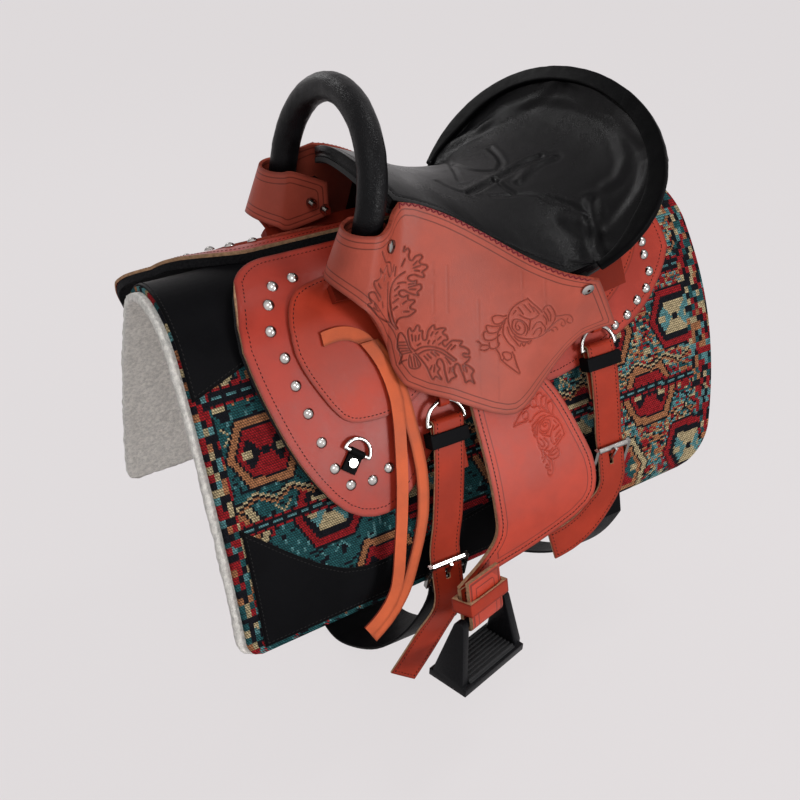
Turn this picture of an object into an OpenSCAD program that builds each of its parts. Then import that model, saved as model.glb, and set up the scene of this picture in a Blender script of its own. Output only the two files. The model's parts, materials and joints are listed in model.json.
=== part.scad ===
// Endurance saddle with its woven pad, hand loop, girth straps and stirrups.
// +X points to the horse's head, +Y to the near (left) side and +Z up.
// The origin is the top of the arch under the pad, where it sits on the horse's spine.

/* [Pad] */
// Length of the pad along the back
pad_len = 642; // [600:2:700]
// How far the rear edge bows out past that length
pad_bow = 26; // [0:1:40]
// Length of one side over the surface, from spine to hem
pad_drop = 379; // [360:1:395]
// How far the hem drops towards its front end, and rises towards its rear
pad_skew = 11; // [0:1:16]
// Radius of the rear hem corners
pad_corner_r = 46; // [10:1:70]
// Radius of the front hem corners
pad_nose_r = 14; // [6:1:40]
// Radius of the arch over the spine, under the fleece
crown_r = 70; // [66:0.5:76]
// Slope at which the crown runs out into the side, in degrees
crown_deg = 62; // [60:0.5:64]
// Slope of the side at the hem, in degrees
hem_deg = 76; // [74:0.5:78]
// Thickness of the fleece lining
fleece_t = 9; // [6:0.5:12]
// Thickness of the woven face
carpet_t = 5; // [3:0.5:7]
// Thickness of the leather wear patches
patch_t = 2; // [1.2:0.1:3]

/* [Skirts] */
// Reach of the skirt in front of the middle of the pad
skirt_front = 253; // [240:1:265]
// Reach of the skirt behind the middle of the pad
skirt_rear = 288; // [270:1:300]
// Lowest point of the front lobe, over the surface from the spine
skirt_low = 281; // [265:1:295]
// Distance of the skirt's upper edge from the spine
skirt_spine = 9; // [6:0.5:14]
// Thickness of the felt lining under the skirt
felt_t = 9; // [6:0.5:11]
// Thickness of the skirt leather
skirt_t = 4; // [2.5:0.5:5]
// Thickness of the second leather layer on the skirt
upper_t = 3; // [2:0.5:4]
// How far the off skirt's front lobe stands up from the pad
flare_lift = 60; // [0:1:70]
// How far that lobe is carried forward as it stands up
flare_reach = 60; // [0:1:70]
// Diameter of a dome stud
stud_d = 12; // [9:0.5:14]
// Height of a dome stud
stud_h = 4; // [3:0.5:5]
/* [Tree] */
// Thickness of a tree bar
bar_t = 12; // [9:0.5:13]
// Reach of the bars in front of the middle of the pad
bar_front = 150; // [140:1:160]
// Reach of the bars behind the middle of the pad
bar_rear = 205; // [190:1:215]
// Thickness of the two arches that stand on the bars
arch_t = 4; // [3:0.5:4.5]
// Thickness of the ground seat shell
ground_t = 5; // [4:0.5:6]

/* [Seat] */
// Reach of the seat's front edge
seat_reach = 88; // [84:0.5:92]
// Half width of the seat at its rear seam ends
seat_half_w = 166; // [162:0.5:170]
// Height of the seat's front edge above the origin
seat_h = 122; // [118:0.5:128]
// Thickness of the seat padding
seat_t = 18; // [14:0.5:20]
// Half width of the cantle rim
rim_half_w = 187; // [180:0.5:192]
// Half height of the cantle rim
rim_half_h = 102; // [96:0.5:106]
// Distance of the rim's middle behind the middle of the pad
rim_back = 142; // [138:0.5:146]
// Height of the rim's middle
rim_z = 44; // [42:0.5:47]
// Backward lean of the rim, in degrees
rim_lean_deg = 45; // [43:0.5:47]
// How far the rim's sides sweep back
rim_wing = 18; // [14:0.5:20]
// Angle from the top to each end of the rim, in degrees
rim_end_deg = 112; // [108:1:114]
// Width of the flat brim
brim_w = 24; // [18:0.5:28]
// Thickness of the brim
brim_t = 8; // [6:0.5:10]

/* [Seat jockeys] */
// Thickness of the seat jockey leather
jockey_t = 4; // [3:0.5:5]
// Distance of the jockey's upper edge outside the seat's seam
jockey_lap = 5; // [4:0.5:7]
// Reach of the jockey's front lower corner
jockey_front = 107; // [103:1:110]
// Reach of the jockey's rear lower corner behind the middle
jockey_rear = 175; // [168:1:180]
// Lowest point of the jockey's lobe, over the surface from the spine
jockey_low = 213; // [206:1:218]
// Head diameter of the jockey screws
screw_d = 14; // [11:0.5:16]

/* [Handle] */
// Distance between the axes of the two legs
handle_span = 190; // [186:0.5:194]
// Outer diameter of the wrapped loop
handle_d = 30; // [26:0.5:32]
// Thickness of the leather wrap
wrap_t = 3; // [2:0.5:4]
// Place of the loop in front of the middle of the pad
handle_x = 113; // [111:0.5:116]
// Height at which the legs run into the bend
handle_bend_z = 90; // [84:0.5:96]
// Height of the lower end of the legs
handle_foot_z = 12; // [9:0.5:16]
// Backward lean of the loop, in degrees
handle_lean_deg = 12; // [10:0.5:14]
// Radius of the leather sleeve at its upper end
sleeve_top_r = 23; // [20:0.5:25]
// Radius of the leather sleeve at its lower end
sleeve_low_r = 32; // [29:0.5:34]
// Height of the sleeve's upper end
sleeve_top_z = 78; // [75:0.5:81]
// Diameter of the sleeve bolts
bolt_d = 6; // [5:0.5:8]

/* [Straps] */
// Width of the front and rear billets
billet_w = 38; // [34:0.5:40]
// Thickness of strap leather
strap_t = 3; // [2.5:0.1:3.5]
// Wire diameter of the rigging dees
dee_wire_d = 4.5; // [3.5:0.1:5]
// Inside width of the rigging dees
dee_w = 42; // [40:0.5:46]
// Place of the front billet along the back, at its dee
front_x = 56; // [53:0.5:59]
// Place of the rear billet behind the middle, at its dee
rear_x = 155; // [151:0.5:159]
// Place of the front dee's bar, over the surface from the spine
front_dee_s = 203; // [199:0.5:207]
// Place of the rear dee's bar, over the surface from the spine
rear_dee_s = 178; // [174:0.5:182]
// Place of the front buckle's roller, over the surface from the spine
front_buckle_s = 354; // [349:0.5:359]
// Place of the rear buckle's roller, over the surface from the spine
rear_buckle_s = 296; // [291:0.5:301]
// Wire diameter of the buckle frames
buckle_wire_d = 4.5; // [4:0.1:5]
// Inside width of the buckle frames
buckle_w = 42; // [40.5:0.5:46]
// Length of the buckle frames, roller to heel bar
buckle_len = 26; // [23:0.5:30]
// Outer diameter of the rollers
roller_d = 7; // [6.4:0.1:8]
// Width of the girth
girth_w = 104; // [80:1:115]
// Depth of the girth below the origin
girth_z = 540; // [520:1:560]
// Width of the flank strap under the rear billets
flank_w = 36; // [30:0.5:40]
// Depth of the flank strap below the origin
flank_z = 500; // [480:1:520]
// Width of the tie strings
tie_w = 14; // [10:0.5:16]

/* [Stirrups] */
// Thickness of the fender leather
fender_t = 5; // [4:0.5:5.5]
// Lowest point of the fender's wide part, over the surface from the spine
fender_low = 386; // [380:1:392]
// Place of the hanger pin along the back
hanger_x = -4; // [-8:0.5:0]
// Place of the hanger pin, over the surface from the spine
hanger_s = 122; // [119:0.5:126]
// Diameter of the hanger pin
hanger_d = 12; // [10:0.5:14]
// Place of the stirrup along the back
stirrup_x = 62; // [58:0.5:66]
// Width of the stirrup's opening
stirrup_w = 88; // [84:1:98]
// Height of the stirrup's opening
stirrup_h = 66; // [60:1:72]
// Turn of the stirrup about its leather, front end outwards, in degrees
stirrup_yaw_deg = 18; // [14:1:22]
// Depth of the tread, across the foot
tread_d = 52; // [44:1:58]
// Diameter of the stirrup's top bar
stirrup_bar_d = 9; // [8:0.5:10]

/* [Hidden] */
$fn = 48;

// Clearance between two layers that lie on each other
gap = 0.3;
// Radial clearance of a running fit
run_gap = 0.05;
// How far a cut runs past what it cuts
overrun = 2;

// Heights of the layers above the fleece's underside
carpet_d = fleece_t + gap;
patch_d = carpet_d + carpet_t + gap;
felt_d = patch_d + patch_t + 2 * gap;
skirt_d = felt_d + felt_t + gap;
upper_d = skirt_d + skirt_t + gap;
bar_d = upper_d + upper_t + 2 * gap;
hanger_d0 = bar_d + bar_t;
fender_d = hanger_d0 + gap;
jockey_d = fender_d + 2 * fender_t + strap_t;

// The pad's cross-section: a crown arc that runs on into a long, nearly flat side arc
crown_arc = crown_r * crown_deg * PI / 180;
side_r = (pad_drop - crown_arc) / ((hem_deg - crown_deg) * PI / 180);
side_c = [(crown_r - side_r) * sin(crown_deg), -crown_r + (crown_r - side_r) * cos(crown_deg)];

function slope(s) =
  s < crown_arc ? s / crown_r * 180 / PI : crown_deg + (s - crown_arc) / side_r * 180 / PI;

// The off skirt's front lobe doesn't lie down: it lifts from these places forwards and downwards
$flare = 0;
function ease(q) = let (c = min(max(q, 0), 1)) c * c * (3 - 2 * c);
flare_x_shares = [0.56, 0.4];
flare_s_shares = [0.09, 0.43];
function flare(x, s) = $flare
  * ease((x / skirt_front - flare_x_shares[0]) / flare_x_shares[1])
  * ease((abs(s) / skirt_low - flare_s_shares[0]) / flare_s_shares[1]);

// Point at x along the back, s over the surface from the spine and d above the fleece's underside
function flank(x, s, d) =
  let (a = slope(abs(s)), on_crown = abs(s) < crown_arc, f = flare(x, s),
       r = (on_crown ? crown_r : side_r) + d + f * flare_lift, c = on_crown ? [0, -crown_r] : side_c)
  [x + f * flare_reach, sign(s) * (c[0] + r * sin(a)), c[1] + r * cos(a)];

function lay(grid, d, spread = 0) =
  [for (row = grid) [for (p = row) flank(p[0], p[1], d + spread * flare(p[0], p[1]))]];

// Curves through hand-set points, and sheets ruled between two curves
function bend(a, b, c, d, t) =
  (2 * b + (c - a) * t + (2 * a - 5 * b + 4 * c - d) * t * t + (3 * b - a - 3 * c + d) * t * t * t) / 2;
function spline(p, k) =
  [for (i = [0 : len(p) - 2], j = [0 : k - 1])
     bend(p[max(i - 1, 0)], p[i], p[i + 1], p[min(i + 2, len(p) - 1)], j / k),
   p[len(p) - 1]];
function ruled(a, b, m) =
  [for (i = [0 : len(a) - 1]) [for (j = [0 : m]) a[i] + (b[i] - a[i]) * j / m]];
// Rows that run down the side, with closer steps on the crown
function draped(a, b, m, n) =
  [for (i = [0 : len(a) - 1])
    let (c = min(max((crown_arc - a[i][1]) / (b[i][1] - a[i][1]), m / (m + n) / 2), 1 - n / (m + n) / 2))
    [for (j = [0 : m + n]) a[i] + (b[i] - a[i]) * (j < m ? c * j / m : c + (1 - c) * (j - m) / n)]];
function times(table, sizes) =
  [for (row = table) [for (i = [0 : len(row) - 1]) row[i] * sizes[i]]];

function face_normal(g, i, j) =
  let (n = len(g) - 1, m = len(g[0]) - 1,
       u = g[min(i + 1, n)][j] - g[max(i - 1, 0)][j],
       v = g[i][min(j + 1, m)] - g[i][max(j - 1, 0)], c = cross(u, v))
  c / norm(c);
function raise(g, t) =
  [for (i = [0 : len(g) - 1]) [for (j = [0 : len(g[0]) - 1]) g[i][j] + face_normal(g, i, j) * t]];

// Closed sheet between an outer and an inner grid of points
module slab(outer, inner) {
  n = len(outer);
  m = len(outer[0]);
  k = n * m;
  points = concat([for (r = outer) for (p = r) p], [for (r = inner) for (p = r) p]);
  faces = concat(
    [for (i = [0 : n - 2], j = [0 : m - 2]) each let (a = i * m + j)
      [[a, a + 1, a + m + 1], [a, a + m + 1, a + m],
       [k + a, k + a + m + 1, k + a + 1], [k + a, k + a + m, k + a + m + 1]]],
    [for (i = [0 : n - 2]) each let (a = i * m, b = a + m - 1)
      [[a, a + m, k + a + m], [a, k + a + m, k + a],
       [b, k + b + m, b + m], [b, k + b, k + b + m]]],
    [for (j = [0 : m - 2]) each let (a = j, b = k - m + j)
      [[a, k + a + 1, a + 1], [a, k + a, k + a + 1],
       [b, b + 1, k + b + 1], [b, k + b + 1, k + b]]]);
  polyhedron(points, faces);
}

// Places what follows on the near side, with its Z axis square to the surface
function square_to(x, s, d) =
  unit(cross(flank(x + gap, s, d) - flank(x - gap, s, d), flank(x, s + gap, d) - flank(x, s - gap, d)));
module at(x, s, d, turn = 0) {
  n = square_to(x, s, d);
  translate(flank(x, s, d)) rotate([-atan2(n[1], n[2]), 0, 0]) rotate([0, asin(n[0]), 0])
    rotate([0, 0, turn]) children();
}
// The same place for a point in place of a child
function placed(x, s, d, p) =
  let (a = slope(s)) flank(x, s, d) + [p[0], p[1] * cos(a) + p[2] * sin(a), p[2] * cos(a) - p[1] * sin(a)];

module off_side() mirror([0, 1, 0]) children();
module off_flared() {
  $flare = 1;
  mirror([0, 1, 0]) children();
}
module both_flared() {
  children();
  off_flared() children();
}
module both_sides() {
  children();
  off_side() children();
}

// Strap along rows of [x, s, d, turn] and, if it is twisted, a yaw; w wide and t thick on its outer side
function strap_grid(rows, w) =
  [for (r = rows) let (c = cos(r[3]) * w / 2, e = sin(r[3]) * w / 2, k = len(r) > 4 ? tan(r[4]) * w / 2 : 0)
    [flank(r[0] + c, r[1] + e, r[2] + k), flank(r[0] - c, r[1] - e, r[2] - k)]];
module strap(rows, w, t) {
  g = strap_grid(rows, w);
  slab(raise(g, t), g);
}

// Rows of a strap end folded round a bar at s, d: up behind it, over it and down in front
fold_steps = 8;
function fold_rows(x, s, d, r, back) =
  concat([[x, s + back, d - r, 0]],
         [for (i = [0 : fold_steps]) let (a = i * 180 / fold_steps)
           [x, s - r * sin(a), d - r * cos(a), 0]]);

// Pad: fleece lining, woven face and leather wear patches
pad_rows = 6;
crown_steps = 6;
side_steps = 8;
corner_steps = 6;
pad_side = pad_drop - pad_corner_r;
pad_s = concat(
  [for (j = [0 : crown_steps - 1]) crown_arc * j / crown_steps],
  [for (j = [0 : side_steps - 1]) crown_arc + (pad_side - crown_arc) * j / side_steps],
  [for (j = [0 : corner_steps]) pad_side + pad_corner_r * sin(90 * j / corner_steps)]);
pad_cols = len(pad_s) - 1;
function corner(s, r) =
  let (e = max(abs(s) - pad_drop + r, 0)) r - sqrt(r * r - e * e);
function pad_front(s) = pad_len / 2 - corner(s, pad_nose_r);
function pad_back(s) = corner(s, pad_corner_r) - pad_len / 2 - pad_bow * sin(180 * abs(s) / pad_drop);
function skewed(s, x_share) = s * (1 + pad_skew / pad_drop * x_share);
pad_grid = [for (i = [0 : pad_rows]) [for (j = [-pad_cols : pad_cols])
  let (s = sign(j) * pad_s[abs(j)], x0 = pad_back(s), x1 = pad_front(s))
  [x0 + (x1 - x0) * i / pad_rows, skewed(s, 2 * i / pad_rows - 1)]]];
module pad_sheet(d, t) slab(lay(pad_grid, d + t), lay(pad_grid, d));

module pad_fleece() color("ivory") pad_sheet(0, fleece_t);
module pad_carpet() color("darkslategray") pad_sheet(carpet_d, carpet_t);

// The withers patch crosses the spine at the front of the pad
withers_shares = [[0.30, 0.10], [0.97, 0.30]];
withers_rows = 8;
withers_cols = 15;
module withers_patch() color([0.06, 0.06, 0.07]) {
  ends = times(withers_shares, [pad_len / 2, pad_drop]);
  g = [for (i = [0 : withers_rows]) [for (j = [-withers_cols : withers_cols])
    let (p = ends[0] + (ends[1] - ends[0]) * i / withers_rows) [p[0], p[1] * j / withers_cols]]];
  slab(lay(g, patch_d + patch_t), lay(g, patch_d));
}

// The wear patch covers the lower part of the side, with one sharp front corner
wear_top_shares = [[-0.56, 0.80], [-0.45, 0.745], [-0.1, 0.82], [0.3, 0.872], [0.6, 0.872], [0.92, 0.66]];
wear_low_share = 0.985;
module near_wear_patch() color([0.06, 0.06, 0.07]) {
  top = spline(times(wear_top_shares, [pad_len / 2, pad_drop]), 4);
  low = [for (p = top) [p[0], skewed(pad_drop, p[0] / (pad_len / 2)) * wear_low_share]];
  g = ruled(top, low, 3);
  slab(lay(g, patch_d + patch_t), lay(g, patch_d));
}

// Skirt: upper and lower outline from rear to front, as shares of its reach and drop
skirt_top_shares = [[-0.995, 0.28], [-0.945, 0.16], [-0.82, 0.08], [-0.57, 0.035], [-0.35, 0.03],
  [-0.07, 0.03], [0.2, 0.03], [0.38, 0.03], [0.53, 0.03], [0.69, 0.03],
  [0.82, 0.036], [0.93, 0.09], [0.99, 0.21]];
skirt_low_shares = [[-1, 0.33], [-0.94, 0.43], [-0.8, 0.56], [-0.57, 0.655], [-0.365, 0.71],
  [-0.07, 0.725], [0.24, 0.79], [0.4, 0.93], [0.55, 1], [0.73, 0.94],
  [0.88, 0.722], [0.968, 0.46], [1, 0.28]];
function skirt_point(p) =
  [p[0] * (p[0] < 0 ? skirt_rear : skirt_front), max(p[1] * skirt_low, skirt_spine)];
skirt_top = spline([for (p = skirt_top_shares) skirt_point(p)], 3);
skirt_bottom = spline([for (p = skirt_low_shares) skirt_point(p)], 3);
skirt_grid = draped(skirt_top, skirt_bottom, 6, 5);

module near_skirt_felt() color([0.1, 0.1, 0.1])
  slab(lay(skirt_grid, felt_d + felt_t), lay(skirt_grid, felt_d));
module near_skirt() color([0.55, 0.24, 0.16])
  slab(lay(skirt_grid, skirt_d + skirt_t), lay(skirt_grid, skirt_d));

front_top_shares = [[0.24, 0.21], [0.4, 0.15], [0.57, 0.145], [0.72, 0.165], [0.785, 0.22], [0.8, 0.285]];
front_low_shares = [[0.24, 0.56], [0.38, 0.63], [0.55, 0.64], [0.67, 0.6], [0.77, 0.43], [0.8, 0.335]];
// The layers part a little where the lobe stands up
upper_spread = 6 * gap;
module near_front_jockey() color([0.6, 0.26, 0.17]) {
  g = draped(spline(times(front_top_shares, [skirt_front, skirt_low]), 3),
             spline(times(front_low_shares, [skirt_front, skirt_low]), 3), 4, 4);
  d = upper_d + gap * $flare;
  slab(lay(g, d + upper_t, upper_spread), lay(g, d, upper_spread));
}
rear_top_shares = [[0.84, 0.22], [0.8, 0.155], [0.7, 0.09], [0.57, 0.075], [0.38, 0.075]];
rear_low_shares = [[0.84, 0.265], [0.8, 0.34], [0.7, 0.44], [0.57, 0.51], [0.38, 0.53]];
module near_rear_jockey() color([0.6, 0.26, 0.17]) {
  g = draped(spline(times(rear_top_shares, [-skirt_rear, skirt_low]), 3),
             spline(times(rear_low_shares, [-skirt_rear, skirt_low]), 3), 6, 4);
  slab(lay(g, upper_d + upper_t), lay(g, upper_d));
}

function unit(v) = v / norm(v);
function flip(p) = [for (i = [len(p) - 1 : -1 : 0]) p[i]];

// Dome studs in a row along the edge of both lobes
front_stud_shares = [[0.70, 0.125], [0.795, 0.135], [0.842, 0.181], [0.87, 0.246], [0.842, 0.338],
  [0.826, 0.441], [0.802, 0.548], [0.775, 0.662], [0.743, 0.769], [0.688, 0.847], [0.589, 0.858],
  [0.506, 0.833]];
rear_stud_shares = [[0.875, 0.285], [0.872, 0.338], [0.882, 0.409], [0.851, 0.473], [0.795, 0.509],
  [0.733, 0.555], [0.663, 0.58], [0.642, 0.63]];
stud_ball_r = (stud_d * stud_d / 4 + stud_h * stud_h) / (2 * stud_h);
stud_lift_shares = [2, 0.8];
function stud_lift(p) =
  gap / 3 + gap * $flare * (stud_lift_shares[0] + stud_lift_shares[1] * pow(1 - flare(p[0], p[1]), 3));
module stud(p) at(p[0], p[1], skirt_d + skirt_t + stud_lift(p)) intersection() {
  translate([0, 0, stud_h - stud_ball_r]) sphere(stud_ball_r);
  cylinder(h = stud_h, r = stud_d);
}
module skirt_studs() color("silver") both_flared() {
  for (p = times(front_stud_shares, [skirt_front, skirt_low])) stud(p);
  for (p = times(rear_stud_shares, [-skirt_rear, skirt_low])) stud(p);
}

// Tree bars: the two boards that carry everything above the skirts
bar_low_share = 0.335;
bar_nose_share = 0.165;
bar_low_shares = [[-1, 0.31], [-0.6, 0.33], [-0.25, bar_low_share],
  [0.1, bar_low_share], [0.4, bar_low_share],
  [0.6, 0.31], [0.7, bar_nose_share], [0.85, bar_nose_share], [1, bar_nose_share]];
bar_high_share = 0.135;
module near_tree_bar() color("tan") difference() {
  low = spline([for (p = bar_low_shares) [p[0] * (p[0] < 0 ? bar_rear : bar_front), p[1] * pad_drop]], 3);
  top = [for (p = low) [p[0], pad_drop * bar_high_share]];
  g = draped(top, low, 4, 2);
  slab(lay(g, bar_d + bar_t), lay(g, bar_d));
  at(hanger_x, hanger_s, bar_d) cylinder(h = bar_t + overrun, d = hanger_d + 2 * run_gap);
}

// Seat surface: rows from the cantle to the front, each an arc from the off side to the near side
seam_shares = [[0.91, 0.53, 0.82], [0.28, 0.615, 0.655], [-0.25, 0.755, 0.38],
  [-0.78, 0.9, 0.14], [-1.23, 0.985, 0.035]];
crest_shares = [[1, 1], [0.45, 0.79], [-0.11, 0.585], [-0.74, 0.5], [-1.27, 0.49]];
rim_row_deg = [96, 76, 56, 36, 16];
dish_shares = [[0.08, 0.18], [0.34, 0.25], [0.6, 0.4], [0.78, 0.6], [0.87, 0.81]];
seat_cols = 10;
brim_rise = brim_w * rim_half_h / rim_half_w;
function rim_point(t, w, h) =
  [-rim_back - tan(rim_lean_deg) * h * cos(t) - rim_wing * sin(t) * sin(t), w * sin(t), rim_z + h * cos(t)];
seat_crown = seat_t / 3;
rim_up = [sin(rim_lean_deg), 0, cos(rim_lean_deg)];
brim_gap = 4 * gap;
function rim_inner(t) =
  rim_point(t, rim_half_w - brim_w - brim_gap, rim_half_h - brim_rise - brim_gap)
  - (brim_t / 2 + 5 * gap - seat_crown) * rim_up;
seam = times(seam_shares, [seat_reach, seat_half_w, seat_h]);
crest = [for (p = crest_shares) [p[0] * seat_reach, 0, p[1] * seat_h]];
seat_edge = flip(spline(concat(seam, [for (t = rim_row_deg) rim_inner(t)]), 3));
seat_mid = flip(spline(concat(crest, [for (p = dish_shares)
  [-rim_back - p[0] * rim_half_h, 0, rim_z + p[1] * rim_half_h]]), 3));
seat_grid = [for (i = [0 : len(seat_edge) - 1]) [for (j = [-seat_cols : seat_cols])
  let (v = j / seat_cols, e = seat_edge[i], c = seat_mid[i])
  [c[0] + (e[0] - c[0]) * v * v, e[1] * v, c[2] + (e[2] - c[2]) * v * v]]];
// The padding swells over its middle and is drawn in along its sewn edge
seat_rows = len(seat_grid) - 1;
function swell(i, j) = sin(180 * i / seat_rows) * cos(90 * (j - seat_cols) / seat_cols);
seat_top = [for (i = [0 : seat_rows]) [for (j = [0 : 2 * seat_cols])
  seat_grid[i][j] + face_normal(seat_grid, i, j) * seat_crown * (swell(i, j) - 1)]];
cantle_thin_share = 0.5;
thin_rows = [4, 9];
seat_depth = [for (i = [0 : seat_rows])
  seat_t * (cantle_thin_share + (1 - cantle_thin_share) * ease((i - thin_rows[0]) / thin_rows[1]))];
function sink(t) = [for (i = [0 : seat_rows]) [for (j = [0 : 2 * seat_cols])
  seat_grid[i][j] - face_normal(seat_grid, i, j) * (seat_depth[i] + t)]];
module seat_cushion() color([0.05, 0.05, 0.055]) slab(seat_top, sink(0));
module ground_seat() color("gainsboro") slab(sink(gap), sink(gap + ground_t));

// Arches between the bars and the ground seat, from rows a to b of the seat
arch_cols = 6;
arch_foot_shares = [0.361, 0.45];
module arch(a, b, foot_s) {
  under = sink(ground_t + 2 * gap);
  deep = sink(ground_t + 2 * gap + arch_t);
  foot_d = bar_d + bar_t + 2 * gap;
  function foot(p, side, s) = let (f = flank(p[0], s, foot_d)) [p[0], side * f[1], f[2]];
  function line(g, i, s) = concat(
    [foot(g[i][seat_cols - arch_cols], -1, s)],
    [for (j = [seat_cols - arch_cols : seat_cols + arch_cols]) g[i][j]],
    [foot(g[i][seat_cols + arch_cols], 1, s)]);
  slab([for (i = [a : b]) line(under, i, foot_s)], [for (i = [a : b]) line(deep, i, foot_s - arch_t)]);
}
module front_arch() color("darkgray") arch(seat_rows - 5, seat_rows - 3, arch_foot_shares[0] * seat_half_w);
module rear_arch() color("darkgray") arch(seat_rows - 16, seat_rows - 13, arch_foot_shares[1] * rim_half_w);

// Cantle: the flat brim round the dish, and the leather back below it
rim_steps = 28;
function rim_deg(i) = -rim_end_deg + 2 * rim_end_deg * i / rim_steps;
brim_taper_shares = [0.74, 0.6];
function brim_share(t) =
  let (a = brim_taper_shares[0])
  1 - brim_taper_shares[1] * ease((abs(t) / rim_end_deg - a) / (1 - a));
rim_grid = [for (k = [0 : 1]) [for (i = [0 : rim_steps]) let (t = rim_deg(i))
  rim_point(t, rim_half_w - brim_w * k * brim_share(t), rim_half_h - brim_rise * k * brim_share(t))]];
module cantle_rim() color([0.04, 0.04, 0.045]) {
  slab(raise(rim_grid, brim_t / 2), raise(rim_grid, -brim_t / 2));
}
back_deg = 52;
back_steps = 12;
back_t = 4;
back_bulge = 16;
back_foot_shares = [0.8, 0.5];
module cantle_back() color([0.5, 0.21, 0.14]) {
  rows = [for (i = [back_steps : -1 : 0]) let (t = -back_deg + 2 * back_deg * i / back_steps,
      top = rim_point(t, rim_half_w, rim_half_h) - brim_t * rim_up - [0, 0, back_t],
      foot = flank(-skirt_rear * back_foot_shares[0], top[1] * back_foot_shares[1],
        upper_d + upper_t + 2 * gap))
    spline([top, (top + foot) / 2 - [back_bulge, 0, 0], foot], 3)];
  slab(raise(rows, back_t), rows);
}

// Seat jockey: rows from the rear edge to the front, then round the handle's leg to the inner flap
jockey_top_shares = [[-1.36, 1.0, 0.0], [-1.2, 0.985, 0.035], [-0.9, 0.935, 0.105], [-0.55, 0.845, 0.235],
  [-0.25, 0.755, 0.38], [0.12, 0.655, 0.56], [0.5, 0.575, 0.715], [0.91, 0.53, 0.82]];
jockey_low_shares = [[-1, 0.725], [-0.69, 0.728], [-0.42, 0.83], [-0.24, 0.945],
  [-0.1, 1], [0.12, 0.955], [0.54, 0.83], [0.93, 0.71]];
jockey_rise_shares = [0.84, 0.9, 1, 1, 1, 1, 0.96, 0.78];
corner_top_shares = [0.96, 0.7];
corner_low_shares = [1.01, 0.51, 0.72];
flap_shares = [[0.73, 1.24, 0.78], [0.74, 1.36, 0.3]];
sleeve_low_z_shares = [0.2, 0.36, -0.02];
leg_y = handle_span / 2;
sleeve_steps = 8;
function leg_x(z) = handle_x - tan(handle_lean_deg) * (z - handle_bend_z);
function sleeve_row(a) =
  let (ends = sleeve_low_z_shares,
       low = ends[1] + ((a < 0 ? ends[0] : ends[2]) - ends[1]) * pow(a / 90, 2),
       z = low * sleeve_top_z)
  [[leg_x(sleeve_top_z) + sleeve_top_r * cos(a), leg_y + sleeve_top_r * sin(a), sleeve_top_z],
   [leg_x(z) + sleeve_low_r * cos(a), leg_y + sleeve_low_r * sin(a), z]];
jockey_ends = concat(
  [for (i = [0 : len(jockey_top_shares) - 1])
    let (t = jockey_top_shares[i], b = jockey_low_shares[i])
    [[t[0] * seat_reach, t[1] * seat_half_w + jockey_lap, t[2] * seat_h - jockey_lap],
     flank(b[0] * (b[0] < 0 ? jockey_rear : jockey_front), b[1] * jockey_low,
       jockey_d * jockey_rise_shares[i])]],
  [[[corner_top_shares[0] * jockey_front, leg_y + sleeve_top_r * corner_top_shares[1],
     sleeve_top_z + jockey_lap],
    flank(corner_low_shares[0] * jockey_front, corner_low_shares[1] * jockey_low,
      jockey_d * corner_low_shares[2])]],
  [for (i = [0 : sleeve_steps]) sleeve_row(90 - 180 * i / sleeve_steps)],
  [[for (f = flap_shares)
    [f[0] * jockey_front, leg_y - f[1] * sleeve_top_r, f[2] * sleeve_top_z]]]);
jockey_grid = ruled(spline([for (r = jockey_ends) r[0]], 2), spline([for (r = jockey_ends) r[1]], 2), 6);

// Two bolts hold the inner flap to the plate on the leg
bolt_x_shares = [0.95, 0.8];
bolt_z_shares = [0.56, 0.42];
plate_y = leg_y - handle_d / 2;
plate_t = handle_d / 2 - wrap_t;
module bolt_places() for (i = [0 : 1])
  translate([bolt_x_shares[i] * jockey_front, plate_y, bolt_z_shares[i] * sleeve_top_z])
    rotate([90, 0, 0]) children();
module near_seat_jockey() color([0.56, 0.22, 0.14]) difference() {
  slab(raise(jockey_grid, jockey_t), jockey_grid);
  bolt_places() translate([0, 0, -gap]) cylinder(h = handle_d, d = bolt_d + 4 * gap);
}
nut_h = bolt_d * 0.7;
nut_d = bolt_d * 1.9;
bolt_reach = handle_d;
module handle_bolts() color("silver") both_sides() bolt_places() {
  translate([0, 0, -plate_t + overrun]) cylinder(h = bolt_reach + plate_t, d = bolt_d);
  translate([0, 0, bolt_reach - 2 * nut_h]) cylinder(h = nut_h, d = nut_d);
}

// Screws with cup washers on the jockey's front and rear corners
screw_rows = [16, 2];
screw_col = 1;
module jockey_screws() color("silver") both_sides() for (i = screw_rows) {
  p = jockey_grid[i][screw_col];
  n = face_normal(jockey_grid, i, screw_col);
  translate(p + n * (jockey_t + 3 * gap)) rotate([0, acos(n[2]), atan2(n[1], n[0])]) difference() {
    intersection() {
      translate([0, 0, -screw_d]) sphere(screw_d * 1.2);
      cylinder(h = screw_d, d = screw_d);
    }
    cylinder(h = screw_d, d = screw_d * 0.3, $fn = 6);
  }
}

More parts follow.
